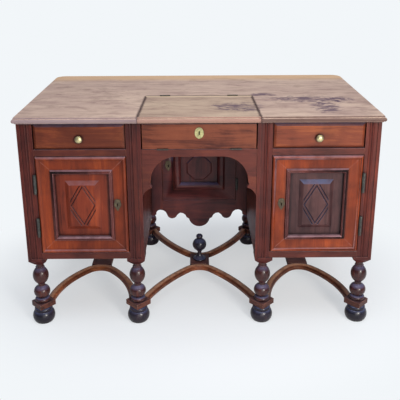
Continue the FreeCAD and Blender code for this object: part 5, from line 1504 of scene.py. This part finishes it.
@dataclass
class Studio:
    """Floor, lights and camera of a plain pale studio.

    Attributes:
        camera_place: place of the camera.
        yaw: its turn to the right in degrees.
        pitch: its tilt downwards in degrees.
        roll: its roll in degrees.
        lens: its focal length in millimetres.
        shift: its vertical shift.
        pale: colour of the surround that the camera sees.
        air: colour of the sky that lights the desk.
        floor_size: half of the floor's side.
        lit_floor: half width and half depth of the oval of floor that shows shadows.
        lamps: name, place, aim, side in metres, power in watts and colour of each lamp.
    """

    camera_place: tuple[float, float, float] = (-0.0061, -2.4255, 1.3339)
    yaw: float = 0.240
    pitch: float = 17.368
    roll: float = -0.256
    lens: float = 56.8
    shift: float = -0.13
    pale: Colour = tint(242, 246, 249)
    air: Colour = tint(124, 128, 140)
    floor_size: float = 14.0
    lit_floor: tuple[float, float] = (1.15, 0.92)
    lamps: tuple[tuple, ...] = (
        ("sun_side", (1.35, -2.70, 1.22), (0.0, -0.15, 0.42), 0.7, 56.0, (1.0, 0.95, 0.88)),
        ("sky_top", (0.2, -0.6, 3.1), (0.0, 0.0, 0.5), 2.6, 62.0, (0.90, 0.94, 1.0)),
        ("front_fill", (0.5, -3.4, 0.95), (0.0, 0.0, 0.4), 2.0, 26.0, (1.0, 0.98, 0.96)))

    def build(self) -> None:
        """Builds floor, world, lamps and camera."""
        self.floor()
        self.world()
        for lamp in self.lamps:
            self.lamp(*lamp)
        self.camera()
        bpy.context.scene.view_settings.view_transform = "Standard"

    def floor(self) -> None:
        """A pale floor that keeps the shadow of the desk and runs out into the pale surround."""
        mesh = bmesh.new()
        bmesh.ops.create_grid(mesh, x_segments=1, y_segments=1, size=self.floor_size)
        data = bpy.data.meshes.new("studio_floor")
        mesh.to_mesh(data)
        mesh.free()
        floor = placed("studio_floor", data)
        material, sheet, shader = start_material("floor_paint")
        shader.inputs["Roughness"].default_value = 0.9
        shader.inputs["Specular IOR Level"].default_value = 0.1
        place = sheet.add("ShaderNodeTexCoord").outputs["Object"]
        speckle = sheet.noise(place, 3.0, 3.0)
        sheet.join(sheet.blend(speckle, tint(246, 248, 250), tint(250, 252, 253)), shader.inputs["Base Color"])
        across, deep = (sheet.squared(value, half) for value, half in zip(sheet.axes(place), self.lit_floor))
        far = sheet.between(sheet.maths("SQRT", sheet.plus(across, deep)), 0.5, 1.0, 0.55, 1.0)
        glow = sheet.use("ShaderNodeEmission", {"Color": self.pale, "Strength": 1.0})
        mix = sheet.add("ShaderNodeMixShader")
        seen = sheet.add("ShaderNodeLightPath").outputs["Is Camera Ray"]
        for socket, source in zip(mix.inputs, (sheet.times(far, seen), shader.outputs[0], glow.outputs[0])):
            sheet.join(source, socket)
        sheet.join(mix.outputs[0], material.node_tree.nodes["Material Output"].inputs["Surface"])
        data.materials.append(material)

    def world(self) -> None:
        """A pale surround for the camera, and a bluer, dimmer sky for light and reflections."""
        world = bpy.data.worlds.new("studio_air")
        world.use_nodes = True
        bpy.context.scene.world = world
        sheet = NodeSheet(world.node_tree)
        back = world.node_tree.nodes["Background"]
        seen = sheet.add("ShaderNodeLightPath").outputs["Is Camera Ray"]
        sheet.join(sheet.blend(seen, self.air, self.pale), back.inputs["Color"])
        back.inputs["Strength"].default_value = 1.0

    def lamp(self, name: str, place: Sequence[float], aim: Sequence[float], size: float, power: float,
             colour: Sequence[float]) -> None:
        """One square soft lamp.

        Args:
            name: name of the lamp.
            place: where it hangs.
            aim: what it points at.
            size: its side in metres.
            power: its power in watts.
            colour: its colour.
        """
        data = bpy.data.lights.new(name, "AREA")
        data.shape = "SQUARE"
        data.size = size
        data.energy = power
        data.color = colour
        lamp = placed(name, data)
        lamp.location = place
        lamp.rotation_euler = (Vector(aim) - Vector(place)).to_track_quat("-Z", "Y").to_euler()

    def camera(self) -> None:
        """The camera at the viewing angle of the picture."""
        yaw, pitch, roll = (math.radians(angle) for angle in (self.yaw, self.pitch, self.roll))
        right = Vector((math.cos(yaw), -math.sin(yaw), 0.0))
        ahead = Vector((math.sin(yaw) * math.cos(pitch), math.cos(yaw) * math.cos(pitch), -math.sin(pitch)))
        up = right.cross(ahead)
        turned_right = right * math.cos(roll) + up * math.sin(roll)
        turned_up = up * math.cos(roll) - right * math.sin(roll)
        data = bpy.data.cameras.new("picture_camera")
        data.lens = self.lens
        data.sensor_width = 36.0
        data.shift_y = self.shift
        camera = placed("picture_camera", data)
        rows = zip(turned_right, turned_up, -ahead, self.camera_place)
        camera.matrix_world = Matrix((*rows, (0.0, 0.0, 0.0, 1.0)))
        bpy.context.scene.camera = camera


def main() -> None:
    """Builds the studio and every sub-assembly."""
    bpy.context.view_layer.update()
    finishes = Finishes(Effects())
    for assembly in (*(kind(finishes) for kind in (Stand, Carcase, Top, Fronts, Knobs)), Studio()):
        LOG.info("building %s", type(assembly).__name__)
        assembly.build()


if __name__ == "__main__":
    main()
